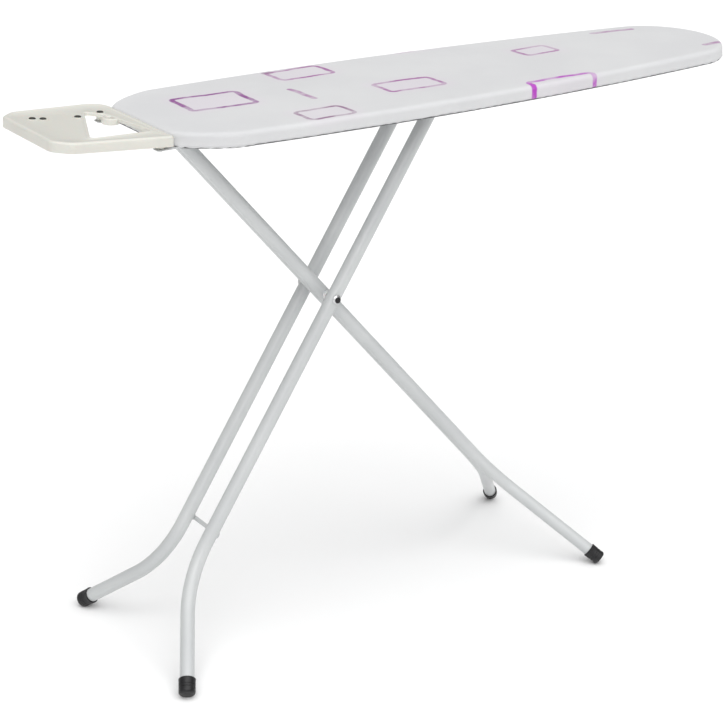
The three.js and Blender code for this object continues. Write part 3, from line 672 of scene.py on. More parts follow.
# -----------------------------------------------------------------------------------------------------------
# Slide rails: two folded strips hanging under the deck, each with a long slot for the outer leg's pins, and
# the pins themselves with a nylon washer on each.
# -----------------------------------------------------------------------------------------------------------
def slide_rail(node_name):
    """The rail with its slot ends made round and its edges eased."""
    bm = merged(node_name)
    low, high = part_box(node_name)
    slot_ends = [
        e for e in bm.edges
        if abs(e.verts[0].co.y - e.verts[1].co.y) > 1 * mm
        and abs(e.verts[0].co.x - e.verts[1].co.x) < 0.01 * mm
        and abs(e.verts[0].co.z - e.verts[1].co.z) < 0.01 * mm
        and low.x + 4 * mm < e.verts[0].co.x < high.x - 4 * mm
        and low.z + 1 * mm < e.verts[0].co.z < high.z - 4 * mm
    ]
    bmesh.ops.bevel(
        bm, geom=slot_ends, offset=4.4 * mm, offset_type="OFFSET", segments=8, profile=0.5, affect="EDGES",
        material=-1,
    )
    return ease(bm, 0.35 * mm, 2, 50)


for side_name, side in sides.items():
    rail = as_piece(slide_rail(f"slide_rail_{side_name}"), f"slide_{side_name}_rail")
    fit(rail, "board", frame_paint, f"slide_rail_{side_name}")

    low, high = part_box(f"slide_pin_{side_name}")
    length = high.y - low.y
    ends = rounded_corner((pin_radius - 1 * mm, 1 * mm), 1 * mm, -90, 0, 4)
    profile = [(0, 0)] + ends + [(pin_radius, length - 3.6 * mm), (pin_radius - 0.7 * mm, length - 3.2 * mm)]
    profile += [(pin_radius - 0.7 * mm, length - 2.2 * mm), (pin_radius, length - 1.8 * mm)]
    profile += rounded_corner((pin_radius - 1.2 * mm, length - 1.2 * mm), 1.2 * mm, 0, 90, 4) + [(0, length)]
    inner_end = low.y if side > 0 else high.y
    pin_bm = turned(profile, (slide_at.x, inner_end, slide_at.z), (0, side, 0))
    make(pin_bm, f"slide_{side_name}_pin", "leg_a", bare_steel, f"slide_pin_{side_name}", crease=30)
    low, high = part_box(f"slide_washer_{side_name}")
    profile = ring_profile(pin_radius + pin_play, (high.z - low.z) / 2, 0, high.y - low.y, 0.5 * mm)
    make(
        turned(profile, (slide_at.x, low.y, slide_at.z), (0, 1, 0)), f"slide_{side_name}_washer",
        "leg_a", white_plastic, f"slide_washer_{side_name}",
    )


# -----------------------------------------------------------------------------------------------------------
# Deck: a thin sheet of steel punched with steam vents, in a folded rim, on three folded ribs welded across.
# -----------------------------------------------------------------------------------------------------------
deck_paint = sprayed_paint("deck paint", "deck_paint", (0.55, 0.56, 0.57), (0.50, 0.51, 0.52), 0.42)
for node_name, finish in (
    ("deck_panel", deck_paint),
    ("rim_tail", frame_paint),
    ("rim_left", frame_paint),
    ("rim_right", frame_paint),
    ("rim_nose", frame_paint),
):
    materials = frame["nodes"][node_name].data.materials
    materials.clear()
    materials.append(finish)
for node_name in ("rib_tail", "rib_middle", "rib_nose"):
    rib = as_piece(finer(node_name, 0.4 * mm, 2, 50), node_name.replace("rib_", "") + "_rib")
    fit(rib, "board", frame_paint, node_name)


# -----------------------------------------------------------------------------------------------------------
# Felt pad: one layer of thick felt cut to the deck's outline and laid on it, its cut edge softly rounded.
# -----------------------------------------------------------------------------------------------------------
board_low, board_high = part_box("cover_top")
board_length = board_high.x - board_low.x
board_width = board_high.y - board_low.y
tail_width = 164 * mm
tail_round = 90 * mm
tail_shoulder = 292 * mm
widest_at = 362 * mm
nose_round = 86 * mm
nose_shoulder = 224 * mm
tail_power = 2 / 1.5
nose_power = 2 / 2.1


def side_half_width(x):
    """Half the board's width at x metres from the tail, between the rounded ends."""
    loss = np.where(x < widest_at, board_width - tail_shoulder, board_width - nose_shoulder)
    reach = np.where(x < widest_at, widest_at - tail_round, board_length - nose_round - widest_at)
    along = (x - widest_at) / reach
    return (board_width - loss * along * along) / 2


def board_outline():
    """The board's edge as a dense closed line from the middle of the tail, left side first."""
    turn = np.linspace(0, math.pi / 2, 60)[:-1]
    tail_x = tail_round * (1 - np.cos(turn) ** tail_power)
    tail_half = tail_width / 2 + (side_half_width(tail_x) - tail_width / 2) * np.sin(turn) ** tail_power
    side_x = np.linspace(tail_round, board_length - nose_round, 160)[:-1]
    turn = np.linspace(0, math.pi / 2, 90)
    nose_x = board_length - nose_round + nose_round * np.sin(turn) ** nose_power
    nose_half = side_half_width(nose_x) * np.abs(np.cos(turn)) ** nose_power
    x = np.concatenate([[0], tail_x, side_x, nose_x]) + board_low.x
    y = np.concatenate([[0], tail_half, side_half_width(side_x), nose_half])
    line = np.column_stack([x, y])
    back = line[-2:0:-1] * (1, -1)
    return np.vstack([line, back])


outline = board_outline()
closed_line = np.vstack([outline, outline[:1]])
edge_run = np.concatenate([[0], np.cumsum(np.linalg.norm(np.diff(closed_line, axis=0), axis=1))])
edge_length = edge_run[-1]
edge_points = 2400
even = np.linspace(0, edge_length, edge_points, endpoint=False)
even_line = np.column_stack([np.interp(even, edge_run, closed_line[:, k]) for k in (0, 1)])


def smoothed(values, reach=14):
    """A running average round the closed edge."""
    weights = np.hanning(2 * reach + 1)
    weights /= weights.sum()
    wrapped = np.concatenate([values[-reach:], values, values[:reach]])
    return np.convolve(wrapped, weights, mode="valid")


edge_way = np.column_stack([smoothed(np.gradient(even_line[:, k])) for k in (0, 1)])
edge_way /= np.linalg.norm(edge_way, axis=1)[:, None]
edge_out = np.column_stack([-edge_way[:, 1], edge_way[:, 0]])
heading = np.unwrap(np.arctan2(edge_way[:, 1], edge_way[:, 0]))
turning = np.abs(np.gradient(heading)) * edge_points / edge_length
edge_turn = smoothed(turning, 30)


def on_edge(run):
    """The edge point, its outward direction and how sharply it turns, at a run in metres from the tail."""
    at = (run / edge_length * edge_points) % edge_points
    i = int(at)
    j = (i + 1) % edge_points
    share = at - i
    point = even_line[i] * (1 - share) + even_line[j] * share
    out = edge_out[i] * (1 - share) + edge_out[j] * share
    return point, out / np.linalg.norm(out), edge_turn[i]


tail_corner_run = tail_width / 2 + 62 * mm
nose_corner_run = edge_length / 2 - 118 * mm


def edge_runs(u, v):
    """Runs along the edge of the four points that a place on the board is woven between."""
    side_run = tail_corner_run + (nose_corner_run - tail_corner_run) * u
    tail_run = tail_corner_run * (2 * v - 1)
    nose_run = nose_corner_run + (edge_length - 2 * nose_corner_run) * (1 - v)
    return side_run, tail_run, nose_run


def board_grid(along, across, inside):
    """A flat grid of faces that fills the board's outline less a margin, with each edge point's run."""
    bm = bmesh.new()
    run_of = bm.verts.layers.float.new("run")
    bmesh.ops.create_grid(bm, x_segments=along, y_segments=across, size=0.5)

    def rim(run):
        point, out, _ = on_edge(run)
        return point - out * inside

    corners = [[rim(-tail_corner_run), rim(tail_corner_run)], [rim(-nose_corner_run), rim(nose_corner_run)]]
    tails = [rim(edge_runs(0, j / across)[1]) for j in range(across + 1)]
    noses = [rim(edge_runs(0, j / across)[2]) for j in range(across + 1)]
    lefts = [rim(edge_runs(i / along, 0)[0]) for i in range(along + 1)]
    rights = [rim(-edge_runs(i / along, 0)[0]) for i in range(along + 1)]
    for vert in bm.verts:
        i = round((vert.co.x + 0.5) * along)
        j = round((vert.co.y + 0.5) * across)
        u, v = i / along, j / across
        straight = (1 - v) * rights[i] + v * lefts[i] + (1 - u) * tails[j] + u * noses[j]
        corner = (1 - u) * ((1 - v) * corners[0][0] + v * corners[0][1])
        corner = corner + u * ((1 - v) * corners[1][0] + v * corners[1][1])
        x, y = straight - corner
        vert.co = (x, y, 0)
        side_run, tail_run, nose_run = edge_runs(u, v)
        if j in (0, across):
            vert[run_of] = side_run if j else -side_run
        elif i == 0:
            vert[run_of] = tail_run
        elif i == along:
            vert[run_of] = nose_run
    return bm, run_of


pad_low, pad_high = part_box("pad")
crown = 1.1 * mm  # how much the padded top rises along the middle


def crown_at(x, y):
    """Height of the padded top's gentle crown at a place on the board."""
    x_share = (x - board_low.x) / board_length
    half = max(float(side_half_width(np.array(x - board_low.x))), 0.04)
    across = min(1, abs(y) / half)
    ends = min(1, 12 * x_share) * min(1, 9 * (1 - x_share))
    return crown * (1 - across**2) * ends


pad_bm, _ = board_grid(120, 34, 4 * mm)
pad_top = pad_bm.faces[:]
for vert in pad_bm.verts:
    vert.co.z = pad_high.z + crown_at(vert.co.x, vert.co.y)
down = bmesh.ops.extrude_face_region(pad_bm, geom=pad_top)["geom"]
under = [v for v in down if isinstance(v, bmesh.types.BMVert)]
for vert in under:
    vert.co.z = pad_low.z
bmesh.ops.recalc_face_normals(pad_bm, faces=pad_bm.faces)
ease(pad_bm, 2.4 * mm, 4, 60)

felt, tree, shader = new_finish(
    "grey-white felt", "felt", Sheen_Weight=0.35, Sheen_Roughness=0.6, Specular_IOR_Level=0.2
)
where = place_on(tree)
fibres = cloudy(tree, where, 1400, 5, 0.7)
clumps = cloudy(tree, where, 120, 4, 0.6)
flecks = spread(tree, cloudy(tree, where, 420, 2), 0.68, 0.74, 0.0, 0.5)
tint = blend_colour(tree, clumps, (0.66, 0.65, 0.61), (0.56, 0.55, 0.52))
tint = blend_colour(tree, flecks, tint, (0.38, 0.40, 0.45))
coat(
    tree, shader, tint, spread(tree, clumps, 0.3, 0.7, 0.86, 0.96),
    ((fibres, 0.0008, 0.6), (clumps, 0.001, 0.3)),
)

pad = make(pad_bm, "felt_pad", "board", felt, "pad")


# -----------------------------------------------------------------------------------------------------------
# Cover: one sheet of printed cotton pulled over the pad, down the rim and under it, where a sewn hem holds it.
# The cloth gathers in small pleats where the edge turns, at the tail corners and round the nose.
# -----------------------------------------------------------------------------------------------------------
skirt_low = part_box("cover_skirt")[0]
cloth = 1.2 * mm
top_edge = 7 * mm  # rounding of the padded edge
under_edge = 3 * mm
hem_width = 16 * mm
drop = board_high.z - skirt_low.z


def wrap_steps():
    """The cloth's way from the rounded edge to the hem: (outwards, height, cloth used, looseness)."""
    steps = []
    for i in range(1, 7):
        turn = math.radians(90 * i / 6)
        steps.append((top_edge * math.sin(turn), top_edge * (math.cos(turn) - 1), top_edge * turn, 0.02 * i))
    used = steps[-1][2]
    straight = drop - top_edge - under_edge
    for i in range(1, 5):
        share = i / 4
        steps.append((top_edge, -top_edge - straight * share, used + straight * share, 0.12 + 0.6 * share))
    used += straight
    for i in range(1, 5):
        turn = math.radians(90 * i / 4)
        out = top_edge - under_edge * (1 - math.cos(turn))
        steps.append((out, -drop + under_edge * (1 - math.sin(turn)), used + under_edge * turn, 0.9))
    used += under_edge * math.pi / 2
    run_in = hem_width - under_edge
    for i in range(1, 6):
        share = i / 5
        steps.append((top_edge - under_edge - run_in * share, -drop, used + run_in * share, 1.0))
    return steps


def gathers(run, turn):
    """Depth of the cloth's gathers at a run along the edge, from 0 to about 1, and how full they are there."""
    fullness = 0.42 + min(0.9, turn * 0.08)
    wander = 5 * mm * math.sin(run / (31 * mm)) + 3 * mm * math.sin(run / (13.7 * mm) + 1)
    wave = 0.5 + 0.5 * math.sin((run + wander) / (2.9 * mm))
    small = 0.5 + 0.5 * math.sin((run - wander) / (1.9 * mm) + 0.7)
    slow = 0.5 + 0.5 * math.sin(run / (23 * mm) + 2)
    return fullness * (0.55 * wave + 0.2 * small + 0.35 * slow)


along_faces, across_faces = 250, 64
cover_bm, run_of = board_grid(along_faces, across_faces, top_edge)
print_of = cover_bm.loops.layers.uv.new("cut")
flat_place = {}
for vert in cover_bm.verts:
    ripple = 0.12 * mm * noise.noise(Vector((vert.co.x * 14, vert.co.y * 22, 0.3)))
    flat_place[vert] = (vert.co.x, vert.co.y)
    vert.co.z = board_high.z + crown_at(vert.co.x, vert.co.y) + ripple
ring = [e for e in cover_bm.edges if e.is_boundary]
for step_out, step_down, used, loose in wrap_steps():
    ring, points = drawn_on(cover_bm, ring)
    for vert in points:
        run = vert[run_of]
        point, out, turn = on_edge(run)
        depth = 1.7 * mm * loose * loose * gathers(run, turn)
        sideways = depth if step_down > -drop else 0
        downwards = 1.3 * depth if step_down < -drop + 0.5 * mm else 0.2 * depth
        spot = point + out * (step_out - top_edge + sideways)
        vert.co = (spot[0], spot[1], board_high.z + step_down - downwards)
        cut_at = point + out * (used - top_edge)
        flat_place[vert] = (cut_at[0], cut_at[1])
for face in cover_bm.faces:
    for loop in face.loops:
        loop[print_of].uv = flat_place[loop.vert]
bmesh.ops.recalc_face_normals(cover_bm, faces=cover_bm.faces)
if sum(f.normal.z * f.calc_area() for f in cover_bm.faces[:along_faces * across_faces]) < 0:
    bmesh.ops.reverse_faces(cover_bm, faces=cover_bm.faces)
bmesh.ops.solidify(cover_bm, geom=cover_bm.faces[:], thickness=cloth)

cloth_used = wrap_steps()[-1][2] - top_edge

plum = (0.23, 0.035, 0.24)
magenta = (0.42, 0.035, 0.47)
mauve = (0.32, 0.085, 0.30)
slate = (0.26, 0.13, 0.24)
# (centre x and y, half length and width, turn, line width, line colour, fill strength) in mm and degrees
frames_printed = (
    ((-302, 25), (56, 43), -3, 9.0, plum, 0.12),
    ((-106, 110), (50, 32), 2, 8.0, mauve, 0.10),
    ((-200, -117), (41, 27), 1, 7.0, slate, 0.10),
    ((-6, -42), (52, 31), -2, 8.0, mauve, 0.12),
    ((290, 38), (37, 26), 2, 8.0, mauve, 0.10),
    ((210, -155), (65, 34), 0, 10, magenta, 0.06),
    ((140, 172), (52, 30), 3, 8.0, mauve, 0.1),
    ((430, 176), (40, 24), -4, 7.0, plum, 0.1),
)
strokes_printed = (
    ((-172, -6), (4.5, 37), 2, mauve, 0.9),
    ((485, 86), (43, 5.5), -6, mauve, 0.85),
    ((574, -72), (32, 5.5), 4, mauve, 0.85),
    ((-148, 136), (10, 7), 0, slate, 0.8),
)

cotton, tree, shader = new_finish(
    "printed cotton", "cover_cloth", Sheen_Weight=0.18, Sheen_Roughness=0.5, Specular_IOR_Level=0.25
)
cut_place = node(tree, "ShaderNodeUVMap", uv_map="cut").outputs[0]
hand = node(
    tree, "ShaderNodeTexNoise", {"Vector": cut_place, "Scale": 22.0, "Detail": 3.0}, noise_dimensions="2D"
)
shaky = node(
    tree, "ShaderNodeVectorMath", {0: hand.outputs[1], 1: (0.5, 0.5, 0.5)}, operation="SUBTRACT"
).outputs[0]
shaky = node(tree, "ShaderNodeVectorMath", {0: shaky, "Scale": 7 * mm}, operation="SCALE").outputs[0]
drawn_place = node(tree, "ShaderNodeVectorMath", {0: cut_place, 1: shaky}, operation="ADD").outputs[0]
ink_load = spread(tree, cloudy(tree, cut_place, 24, 4, 0.6), 0.40, 0.60, 0.45, 1.0)


def edge_distance(centre, half, turn, corner):
    """Distance in metres from the edge of a printed rounded rectangle, less than nought inside it."""
    settings = {
        "Vector": drawn_place,
        "Location": (centre[0] * mm, centre[1] * mm, 0),
        "Rotation": (0, 0, math.radians(turn)),
    }
    local = node(tree, "ShaderNodeMapping", settings, vector_type="TEXTURE").outputs[0]
    local = node(tree, "ShaderNodeVectorMath", {0: local}, operation="ABSOLUTE").outputs[0]
    inner = ((half[0] - corner) * mm, (half[1] - corner) * mm, 10)
    local = node(tree, "ShaderNodeVectorMath", {0: local, 1: inner}, operation="SUBTRACT").outputs[0]
    local = node(tree, "ShaderNodeVectorMath", {0: local, 1: (0, 0, 0)}, operation="MAXIMUM").outputs[0]
    reach = node(tree, "ShaderNodeVectorMath", {0: local}, operation="LENGTH").outputs["Value"]
    return node(tree, "ShaderNodeMath", {0: reach, 1: corner * mm}, operation="SUBTRACT").outputs[0]


def times(a, b):
    """Two shares multiplied."""
    return node(tree, "ShaderNodeMath", {0: a, 1: b}, operation="MULTIPLY").outputs[0]


thread = cloudy(tree, cut_place, 6, 4)
tint = spread(tree, thread, 0.3, 0.7, 0.0, 1.0)
tint = blend_colour(tree, tint, (0.650, 0.654, 0.660), (0.615, 0.618, 0.628))
for centre, half, turn, line, colour, fill in frames_printed:
    distance = edge_distance(centre, half, turn, 12)
    halo = spread(tree, distance, 0.0, 24 * mm, fill, 0.0)
    tint = blend_colour(tree, halo, tint, (0.72, 0.52, 0.70))
    inside = spread(tree, distance, -line * mm, -0.3 * line * mm, fill, 0.0)
    tint = blend_colour(tree, inside, tint, (0.70, 0.58, 0.72))
    from_line = node(tree, "ShaderNodeMath", {0: distance, 1: line * mm / 2}, operation="ADD").outputs[0]
    from_line = node(tree, "ShaderNodeMath", {0: from_line}, operation="ABSOLUTE").outputs[0]
    inked = spread(tree, from_line, line * mm * 0.34, line * mm * 0.60, 1.0, 0.0)
    tint = blend_colour(tree, times(inked, ink_load), tint, colour)
for centre, half, turn, colour, strength in strokes_printed:
    distance = edge_distance(centre, half, turn, min(half))
    inked = spread(tree, distance, -1.5 * mm, 1.5 * mm, strength, 0.0)
    tint = blend_colour(tree, times(inked, ink_load), tint, colour)


def threads(turn, phase):
    """One set of the weave's threads, as ridges 0.9 mm apart."""
    settings = {"Vector": cut_place, "Rotation": (0, 0, math.radians(turn)), "Scale": (1, 1, 1)}
    local = node(tree, "ShaderNodeMapping", settings).outputs[0]
    settings = {"Vector": local, "Scale": 350.0, "Distortion": 1.5, "Detail": 2.0, "Phase Offset": phase}
    return node(tree, "ShaderNodeTexWave", settings, wave_profile="SIN").outputs[1]


warp, weft = threads(0, 0.0), threads(90, 1.0)
weave = node(tree, "ShaderNodeMath", {0: warp, 1: weft}, operation="ADD").outputs[0]
tint = blend_colour(tree, spread(tree, weave, 0.2, 1.6, 0.10, 0.0), tint, (0.5, 0.5, 0.52))
drawn_out = node(tree, "ShaderNodeMapping", {"Vector": cut_place, "Scale": (1, 2.2, 1)}).outputs[0]
creases = cloudy(tree, drawn_out, 9, 3)
coat(
    tree, shader, tint, spread(tree, thread, 0.3, 0.7, 0.74, 0.88),
    ((creases, 0.004, 0.22), (weave, 0.0002, 0.35)),
)

cover = as_piece(cover_bm, "printed_cover")
fit(cover, "board", cotton, "cover_top", "cover_skirt", crease=60)


# The hem is a narrow fold of white tape sewn to the cover's edge. A thin dark grey ring just below the edge is
# painted shadow: it stands for the shade where the cloth turns under the board.
def hem_ring(inside, height, radius, gather, steps=840, sides=10):
    """A soft tube that runs round the hem's inner edge, plumped and pinched by the gathers."""
    bm = bmesh.new()
    across = bm.loops.layers.uv.new("tape")
    number = bm.verts.layers.int.new("number")
    along = bm.verts.layers.float.new("along")
    ring = bmesh.ops.create_circle(bm, segments=sides, radius=1)["verts"]
    edges = bm.edges[:]
    for vert in ring:
        vert[number] = round(math.atan2(vert.co.y, vert.co.x) % math.tau / math.tau * sides) % sides
    for i in range(steps + 1):
        if i:
            edges, ring = drawn_on(bm, edges)
        run = edge_length * (i % steps) / steps
        point, out, turn = on_edge(run)
        fold = gathers(run, turn)
        centre = point - out * inside
        fat = radius * (1 + gather * (fold - 0.3))
        for vert in ring:
            angle = math.tau * vert[number] / sides
            spot = centre + out * (fat * 1.25 * math.cos(angle))
            vert.co = (spot[0], spot[1], height - 0.9 * mm * fold + fat * math.sin(angle))
            vert[along] = edge_length * i / steps
    for face in bm.faces:
        numbers = [loop.vert[number] for loop in face.loops]
        for loop, k in zip(face.loops, numbers):
            k = sides if k == 0 and max(numbers) > 1 else k
            loop[across].uv = (loop.vert[along], k / sides * 0.012)
    bmesh.ops.remove_doubles(bm, verts=bm.verts[:], dist=0.001 * mm)
    bmesh.ops.recalc_face_normals(bm, faces=bm.faces)
    return bm


tape, tree, shader = new_finish(
    "white hem tape", "cover_cloth", Sheen_Weight=0.2, Sheen_Roughness=0.5, Specular_IOR_Level=0.25
)
along_tape = node(tree, "ShaderNodeUVMap", uv_map="tape").outputs[0]
ribs = node(tree, "ShaderNodeTexWave", {"Vector": along_tape, "Scale": 260.0, "Distortion": 1.0}).outputs[1]
stitch = node(tree, "ShaderNodeTexWave", {"Vector": along_tape, "Scale": 95.0, "Distortion": 0.4}).outputs[1]
grime = cloudy(tree, place_on(tree), 25, 4)
tint = blend_colour(tree, spread(tree, grime, 0.3, 0.7, 0.0, 1.0), (0.74, 0.74, 0.75), (0.66, 0.66, 0.68))
tint = blend_colour(tree, spread(tree, stitch, 0.7, 0.95, 0.0, 0.5), tint, (0.86, 0.86, 0.86))
coat(
    tree, shader, tint, spread(tree, grime, 0.3, 0.7, 0.78, 0.9),
    ((ribs, 0.0003, 0.5), (stitch, 0.0005, 0.5)),
)
hem_bm = hem_ring(hem_width - 0.8 * mm, skirt_low.z + 0.2 * mm, 1.5 * mm, 0.45)
hem = make(hem_bm, "cover_hem", "board", tape)

# Painted shadow: a dark grey finish, mottled and streaked, for the ring that stands for the shade under the
# cover's edge.
painted_shadow_finish, tree, shader = new_finish(
    "painted shadow under the cover edge", "cover_cloth", Sheen_Weight=0.1, Specular_IOR_Level=0.2
)
along_tape = node(tree, "ShaderNodeUVMap", uv_map="tape").outputs[0]
shadow_streaks = {"Vector": along_tape, "Scale": 180.0}
shadow_streaks = node(tree, "ShaderNodeTexWave", shadow_streaks, bands_direction="DIAGONAL").outputs[1]
shadow_mottle = cloudy(tree, place_on(tree), 40, 4)
tint = blend_colour(tree, spread(tree, shadow_mottle, 0.3, 0.7, 0.0, 1.0), (0.13, 0.13, 0.135), (0.20, 0.20, 0.205))
tint = blend_colour(tree, spread(tree, shadow_streaks, 0.2, 0.8, 0.0, 0.5), tint, (0.07, 0.07, 0.075))
coat(tree, shader, tint, spread(tree, shadow_mottle, 0.3, 0.7, 0.75, 0.9), ((shadow_streaks, 0.0004, 0.6),))
# The ring of painted shadow, 2.4 mm in from the edge and hung just below it.
painted_shadow_bm = hem_ring(2.4 * mm, skirt_low.z - 0.5 * mm, 1.1 * mm, -0.3)
painted_shadow_ring = make(painted_shadow_bm, "cover_edge_painted_shadow", "board", painted_shadow_finish)


# -----------------------------------------------------------------------------------------------------------
# Iron rest: a cream tray moulded in one piece, a hollow shell with rounded edges, a shallow recess, an opening
# with an eye for the iron's cord in it, three dark rubber studs that the iron stands against, and a fourth
# dark stud that is painted shadow, set by the eye where the pocket between the eye and the far wall lies in
# shade.
# -----------------------------------------------------------------------------------------------------------
rest_plastic = moulded(
    "cream moulded plastic", "rest_plastic", (0.665, 0.658, 0.605), (0.635, 0.628, 0.575), 0.34, 0.5, 0.06
)
stud_rubber = moulded("dark stud rubber and painted shadow", "stud_rubber", (0.03, 0.03, 0.028), (0.045, 0.044, 0.04), 0.62, 0.35)

rest_right = board_low.x - 0.6 * mm
rest_left = rest_right - 171 * mm
rest_top = board_high.z
rest_tilt = math.radians(3.2)  # the tray rises away from the board
rest_lean = Matrix.Translation((rest_right, 0, rest_top)) @ Matrix.Rotation(rest_tilt, 4, "Y")
rest_lean = rest_lean @ Matrix.Translation((-rest_right, 0, -rest_top))
rest_half = 114 * mm
rest_height = 15 * mm
rest_skin = 2.6 * mm
rest_edge = 4 * mm  # rounding of the tray's edges
rest_rim = 2.5 * mm
rest_recess = 0.8 * mm
opening_lip = 5 * mm  # depth of the wall round the opening


def rounded_outline(corners, steps):
    """An outline with each corner (x, y, radius) eased into a curve, as (x, y) points."""
    points = []
    for i, (x, y, radius) in enumerate(corners):
        corner = Vector((x, y))
        a = (Vector(corners[i - 1][:2]) - corner).normalized()
        b = (Vector(corners[(i + 1) % len(corners)][:2]) - corner).normalized()
        reach = radius / math.tan(a.angle(b) / 2)
        for k in range(steps + 1):
            t = k / steps
            points.append(
                (corner + a * reach) * (1 - t) ** 2 + corner * 2 * t * (1 - t) + (corner + b * reach) * t * t
            )
    return points


def drawn_in(corners, by):
    """The same corners with every side moved inwards, and each rounding tightened to suit."""
    points = [Vector(corner[:2]) for corner in corners]
    turning_left = sum(a.x * b.y - b.x * a.y for a, b in zip(points, points[1:] + points[:1])) > 0
    moved = []
    for i, point in enumerate(points):
        before = (point - points[i - 1]).normalized()
        after = (points[(i + 1) % len(points)] - point).normalized()
        inwards = [Vector((-way.y, way.x)) * (1 if turning_left else -1) for way in (before, after)]
        both = (inwards[0] + inwards[1]) / (1 + inwards[0].dot(inwards[1]))
        radius = max(corners[i][2] - by, 2.5 * mm)
        moved.append((point.x + both.x * by, point.y + both.y * by, radius))
    return moved


def edge_loop(bm, points, height):
    """A closed loop of edges through the points."""
    verts = [bm.verts.new((x, y, height)) for x, y in points]
    return [bm.edges.new((verts[i - 1], verts[i])) for i in range(len(verts))]


def moulded_plate(walls, skin):
    """A moulded shell: each wall follows steps of (inwards, height), and the last steps are filled."""
    bm = bmesh.new()
    number_of = bm.verts.layers.int.new("number")
    inner = []
    for corners, way, steps in walls:
        ring = []
        for by, height in steps:
            points = rounded_outline(drawn_in(corners, way * by), 12)
            if not ring:
                ring = edge_loop(bm, points, height)
                for vert in {v for e in ring for v in e.verts}:
                    away = [(point - vert.co.to_2d()).length for point in points]
                    vert[number_of] = away.index(min(away))
                continue
            ring, placed = drawn_on(bm, ring)
            for vert in placed:
                vert.co = (*points[vert[number_of]], height)
        inner += ring
    bmesh.ops.triangle_fill(bm, edges=inner, use_beauty=True, use_dissolve=False)
    bmesh.ops.recalc_face_normals(bm, faces=bm.faces)
    highest = max(bm.faces, key=lambda face: face.calc_center_median().z + face.normal.z ** 2)
    if highest.normal.z < 0:
        bmesh.ops.reverse_faces(bm, faces=bm.faces)
    bmesh.ops.solidify(bm, geom=bm.faces[:], thickness=skin)
    return bm


rest_corner_x = rest_left + 22 * mm
rest_outline = [
    (rest_left, -80 * mm, 22 * mm),
    (rest_corner_x, -rest_half + 12 * mm, 24 * mm),
    (rest_right, -rest_half, 7 * mm),
    (rest_right, rest_half, 34 * mm),
    (rest_corner_x, rest_half - 12 * mm, 24 * mm),
    (rest_left, 80 * mm, 22 * mm),
]
rest_opening = [
    (rest_right - 113 * mm, -83 * mm, 8 * mm),
    (rest_right - 14.5 * mm, -73 * mm, 8 * mm),
    (rest_right - 29.5 * mm, 36 * mm, 6 * mm),
    (rest_right - 52 * mm, 64 * mm, 6 * mm),
]


def wall_steps(depth, edge, rim):
    """Steps up a moulded wall, over its rounded edge, across the rim and down into the recess."""
    steps = [(0, rest_top - depth), (0, rest_top - (depth + edge) / 2)]
    for i in range(7):
        turn = math.radians(90 * i / 6)
        steps.append((edge * (1 - math.cos(turn)), rest_top - edge * (1 - math.sin(turn))))
    for i in range(5):
        share = i / 4
        sunk = rest_recess * share * share * (3 - 2 * share)
        steps.append((edge + rim + 1.6 * mm * share, rest_top - sunk))
    return steps


tray_bm = moulded_plate(
    (
        (rest_outline, 1, wall_steps(rest_height, rest_edge, rest_rim)),
        (rest_opening, -1, wall_steps(opening_lip, 2 * mm, 1.5 * mm)),
    ),
    rest_skin,
)


for rib_y in (-36 * mm, 0, 36 * mm):
    rib_bm = bmesh.new()
    bmesh.ops.create_cube(rib_bm, size=1)
    rib_from = rest_left + 1.5 * mm
    rib_to = rest_right - (113 - (rib_y / mm + 83) * 0.415) * mm - 5 * mm
    bmesh.ops.scale(rib_bm, verts=rib_bm.verts, vec=(rib_to - rib_from, 1.8 * mm, 6 * mm))
    bmesh.ops.translate(
        rib_bm, verts=rib_bm.verts, vec=((rib_from + rib_to) / 2, rib_y, rest_top - 5.4 * mm)
    )
    add_to(tray_bm, ease(rib_bm, 0.4 * mm))
tray_bm.transform(rest_lean)
strap_y = 92 * mm
boss_x = rest_right - 13 * mm
boss_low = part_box("rest_tray")[0].z
boss_radius = 6.5 * mm
for side in (-1, 1):
    profile = [(2.3 * mm, 0), (boss_radius - 0.5 * mm, 0), (boss_radius, 0.5 * mm)]
    profile += [(boss_radius, rest_top - boss_low - 1.6 * mm), (2.3 * mm, rest_top - boss_low - 6 * mm)]
    profile += [(2.3 * mm, 0)]
    add_to(tray_bm, turned(profile, (boss_x, side * strap_y, boss_low), (0, 0, 1), 32))
make(tray_bm, "iron_rest_tray", "board", rest_plastic, "rest_tray", crease=50)

eye_profile = ring_profile(7 * mm, 13 * mm, rest_top - 2 * opening_lip, rest_top - 0.3 * mm, 2.2 * mm)
eye_bm = turned(eye_profile, (rest_right - 31.5 * mm, 21 * mm, 0), (0, 0, 1))
eye_bm.transform(rest_lean)
make(eye_bm, "iron_rest_cord_eye", "board", rest_plastic)

stud_radius = 4.8 * mm
stud_height = 1.6 * mm
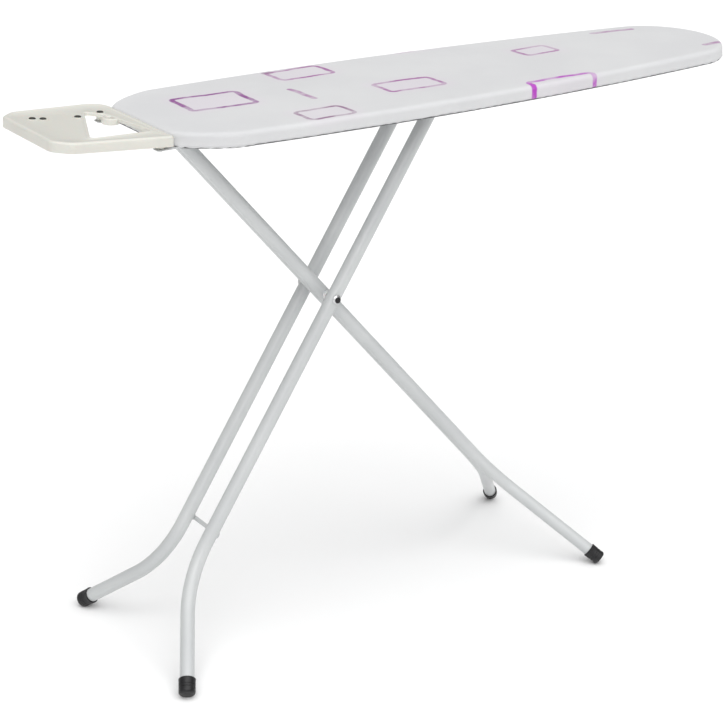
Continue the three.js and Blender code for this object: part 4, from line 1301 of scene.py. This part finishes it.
# Studs 1 to 3 are rubber. Stud 4, 32.5 mm from the right and 53 mm across, is painted shadow: a dark stud put
# by the cord eye where the pocket between the eye and the far wall lies in shade.
for number, (from_right, stud_y) in enumerate(((138, 50), (125, 43), (74.5, 37.5), (32.5, 53)), 1):
    spot = (rest_right - from_right * mm, stud_y * mm, 0)
    low, high = rest_top - 1 * mm, rest_top + stud_height
    profile = [(0, low), (stud_radius, low), (stud_radius, high - 1.3 * mm)]
    profile += rounded_corner((stud_radius - 1.3 * mm, high - 1.3 * mm), 1.3 * mm, 0, 90, 4)
    profile += [(0, high + 0.2 * mm)]
    stud_bm = turned(profile, spot, (0, 0, 1), 36)
    stud_bm.transform(rest_lean)
    make(stud_bm, f"iron_rest_stud_{number}", "board", stud_rubber, f"rest_stud_{number}")
    floor_at = rest_top - rest_recess
    collar_low, collar_high = floor_at - 1 * mm, floor_at + 1.1 * mm
    collar = ring_profile(stud_radius + 0.3 * mm, stud_radius + 3 * mm, collar_low, collar_high, 0.8 * mm)
    collar_bm = turned(collar, spot, (0, 0, 1), 36)
    collar_bm.transform(rest_lean)
    make(collar_bm, f"iron_rest_collar_{number}", "board", rest_plastic)


# -----------------------------------------------------------------------------------------------------------
# Rest straps: two short steel straps screwed up into the tray's bosses and into the tail rib.
# -----------------------------------------------------------------------------------------------------------
for side_name, side in sides.items():
    strap = as_piece(finer(f"rest_strap_{side_name}", 0.5 * mm, 3, 40), f"rest_{side_name}_strap")
    fit(strap, "board", frame_paint, f"rest_strap_{side_name}")
    for where_name in ("rest", "board"):
        low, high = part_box(f"screw_{where_name}_{side_name}")
        spot = Vector(((low.x + high.x) / 2, (low.y + high.y) / 2, low.z))
        length = high.z - low.z
        head_radius = (high.x - low.x) / 2
        profile = [(0, 0), (head_radius * 0.5, 0.1 * mm), (head_radius * 0.85, 0.6 * mm)]
        profile += [(head_radius, 1.3 * mm), (head_radius, 2.1 * mm), (1.8 * mm, 2.1 * mm)]
        for turn in range(int((length - 4 * mm) / (1.2 * mm))):
            height = 3 * mm + turn * 1.2 * mm
            profile += [(1.8 * mm, height), (1.3 * mm, height + 0.5 * mm)]
        profile += [(1.3 * mm, length - 1 * mm), (0, length)]
        screw = as_piece(turned(profile, spot, (0, 0, 1), 32), f"{where_name}_{side_name}_screw")
        slots = []
        for turn in (0, 90):
            slot_bm = bmesh.new()
            bmesh.ops.create_cube(slot_bm, size=1)
            bmesh.ops.scale(slot_bm, verts=slot_bm.verts, vec=(head_radius * 1.2, 0.9 * mm, 2.4 * mm))
            slot_bm.transform(Matrix.Translation(spot) @ Matrix.Rotation(math.radians(turn + 20), 4, "Z"))
            slots.append(slot_bm)
        cut_away(screw, slots)
        fit(screw, "board", bare_steel, f"screw_{where_name}_{side_name}", crease=30)


# -----------------------------------------------------------------------------------------------------------
# Height release: a notched steel bar beside the right rail, hung on a pin in its own ear, with a dark moulded
# grip on its near end that the hand squeezes to let the legs slide.
# -----------------------------------------------------------------------------------------------------------
make(finer("release_bar", 0.35 * mm, 2, 40), "height_release_bar", "release", bare_steel, "release_bar")
grip = as_piece(finer("release_grip", 1.3 * mm, 4, 30), "height_release_grip")
fit(grip, "release", dark_plastic, "release_grip")
ear = as_piece(finer("release_bracket", 0.4 * mm, 2, 40), "height_release_ear")
fit(ear, "board", frame_paint, "release_bracket")
low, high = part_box("release_pin")
radius = (high.z - low.z) / 2
length = high.y - low.y
profile = [(0, 0)] + rounded_corner((radius - 0.6 * mm, 0.6 * mm), 0.6 * mm, -90, 0, 3)
profile += rounded_corner((radius - 0.6 * mm, length - 0.6 * mm), 0.6 * mm, 0, 90, 3) + [(0, length)]
pin_at = ((low.x + high.x) / 2, low.y, (low.z + high.z) / 2)
make(turned(profile, pin_at, (0, 1, 0), 32), "height_release_pin", "board", bare_steel, "release_pin")
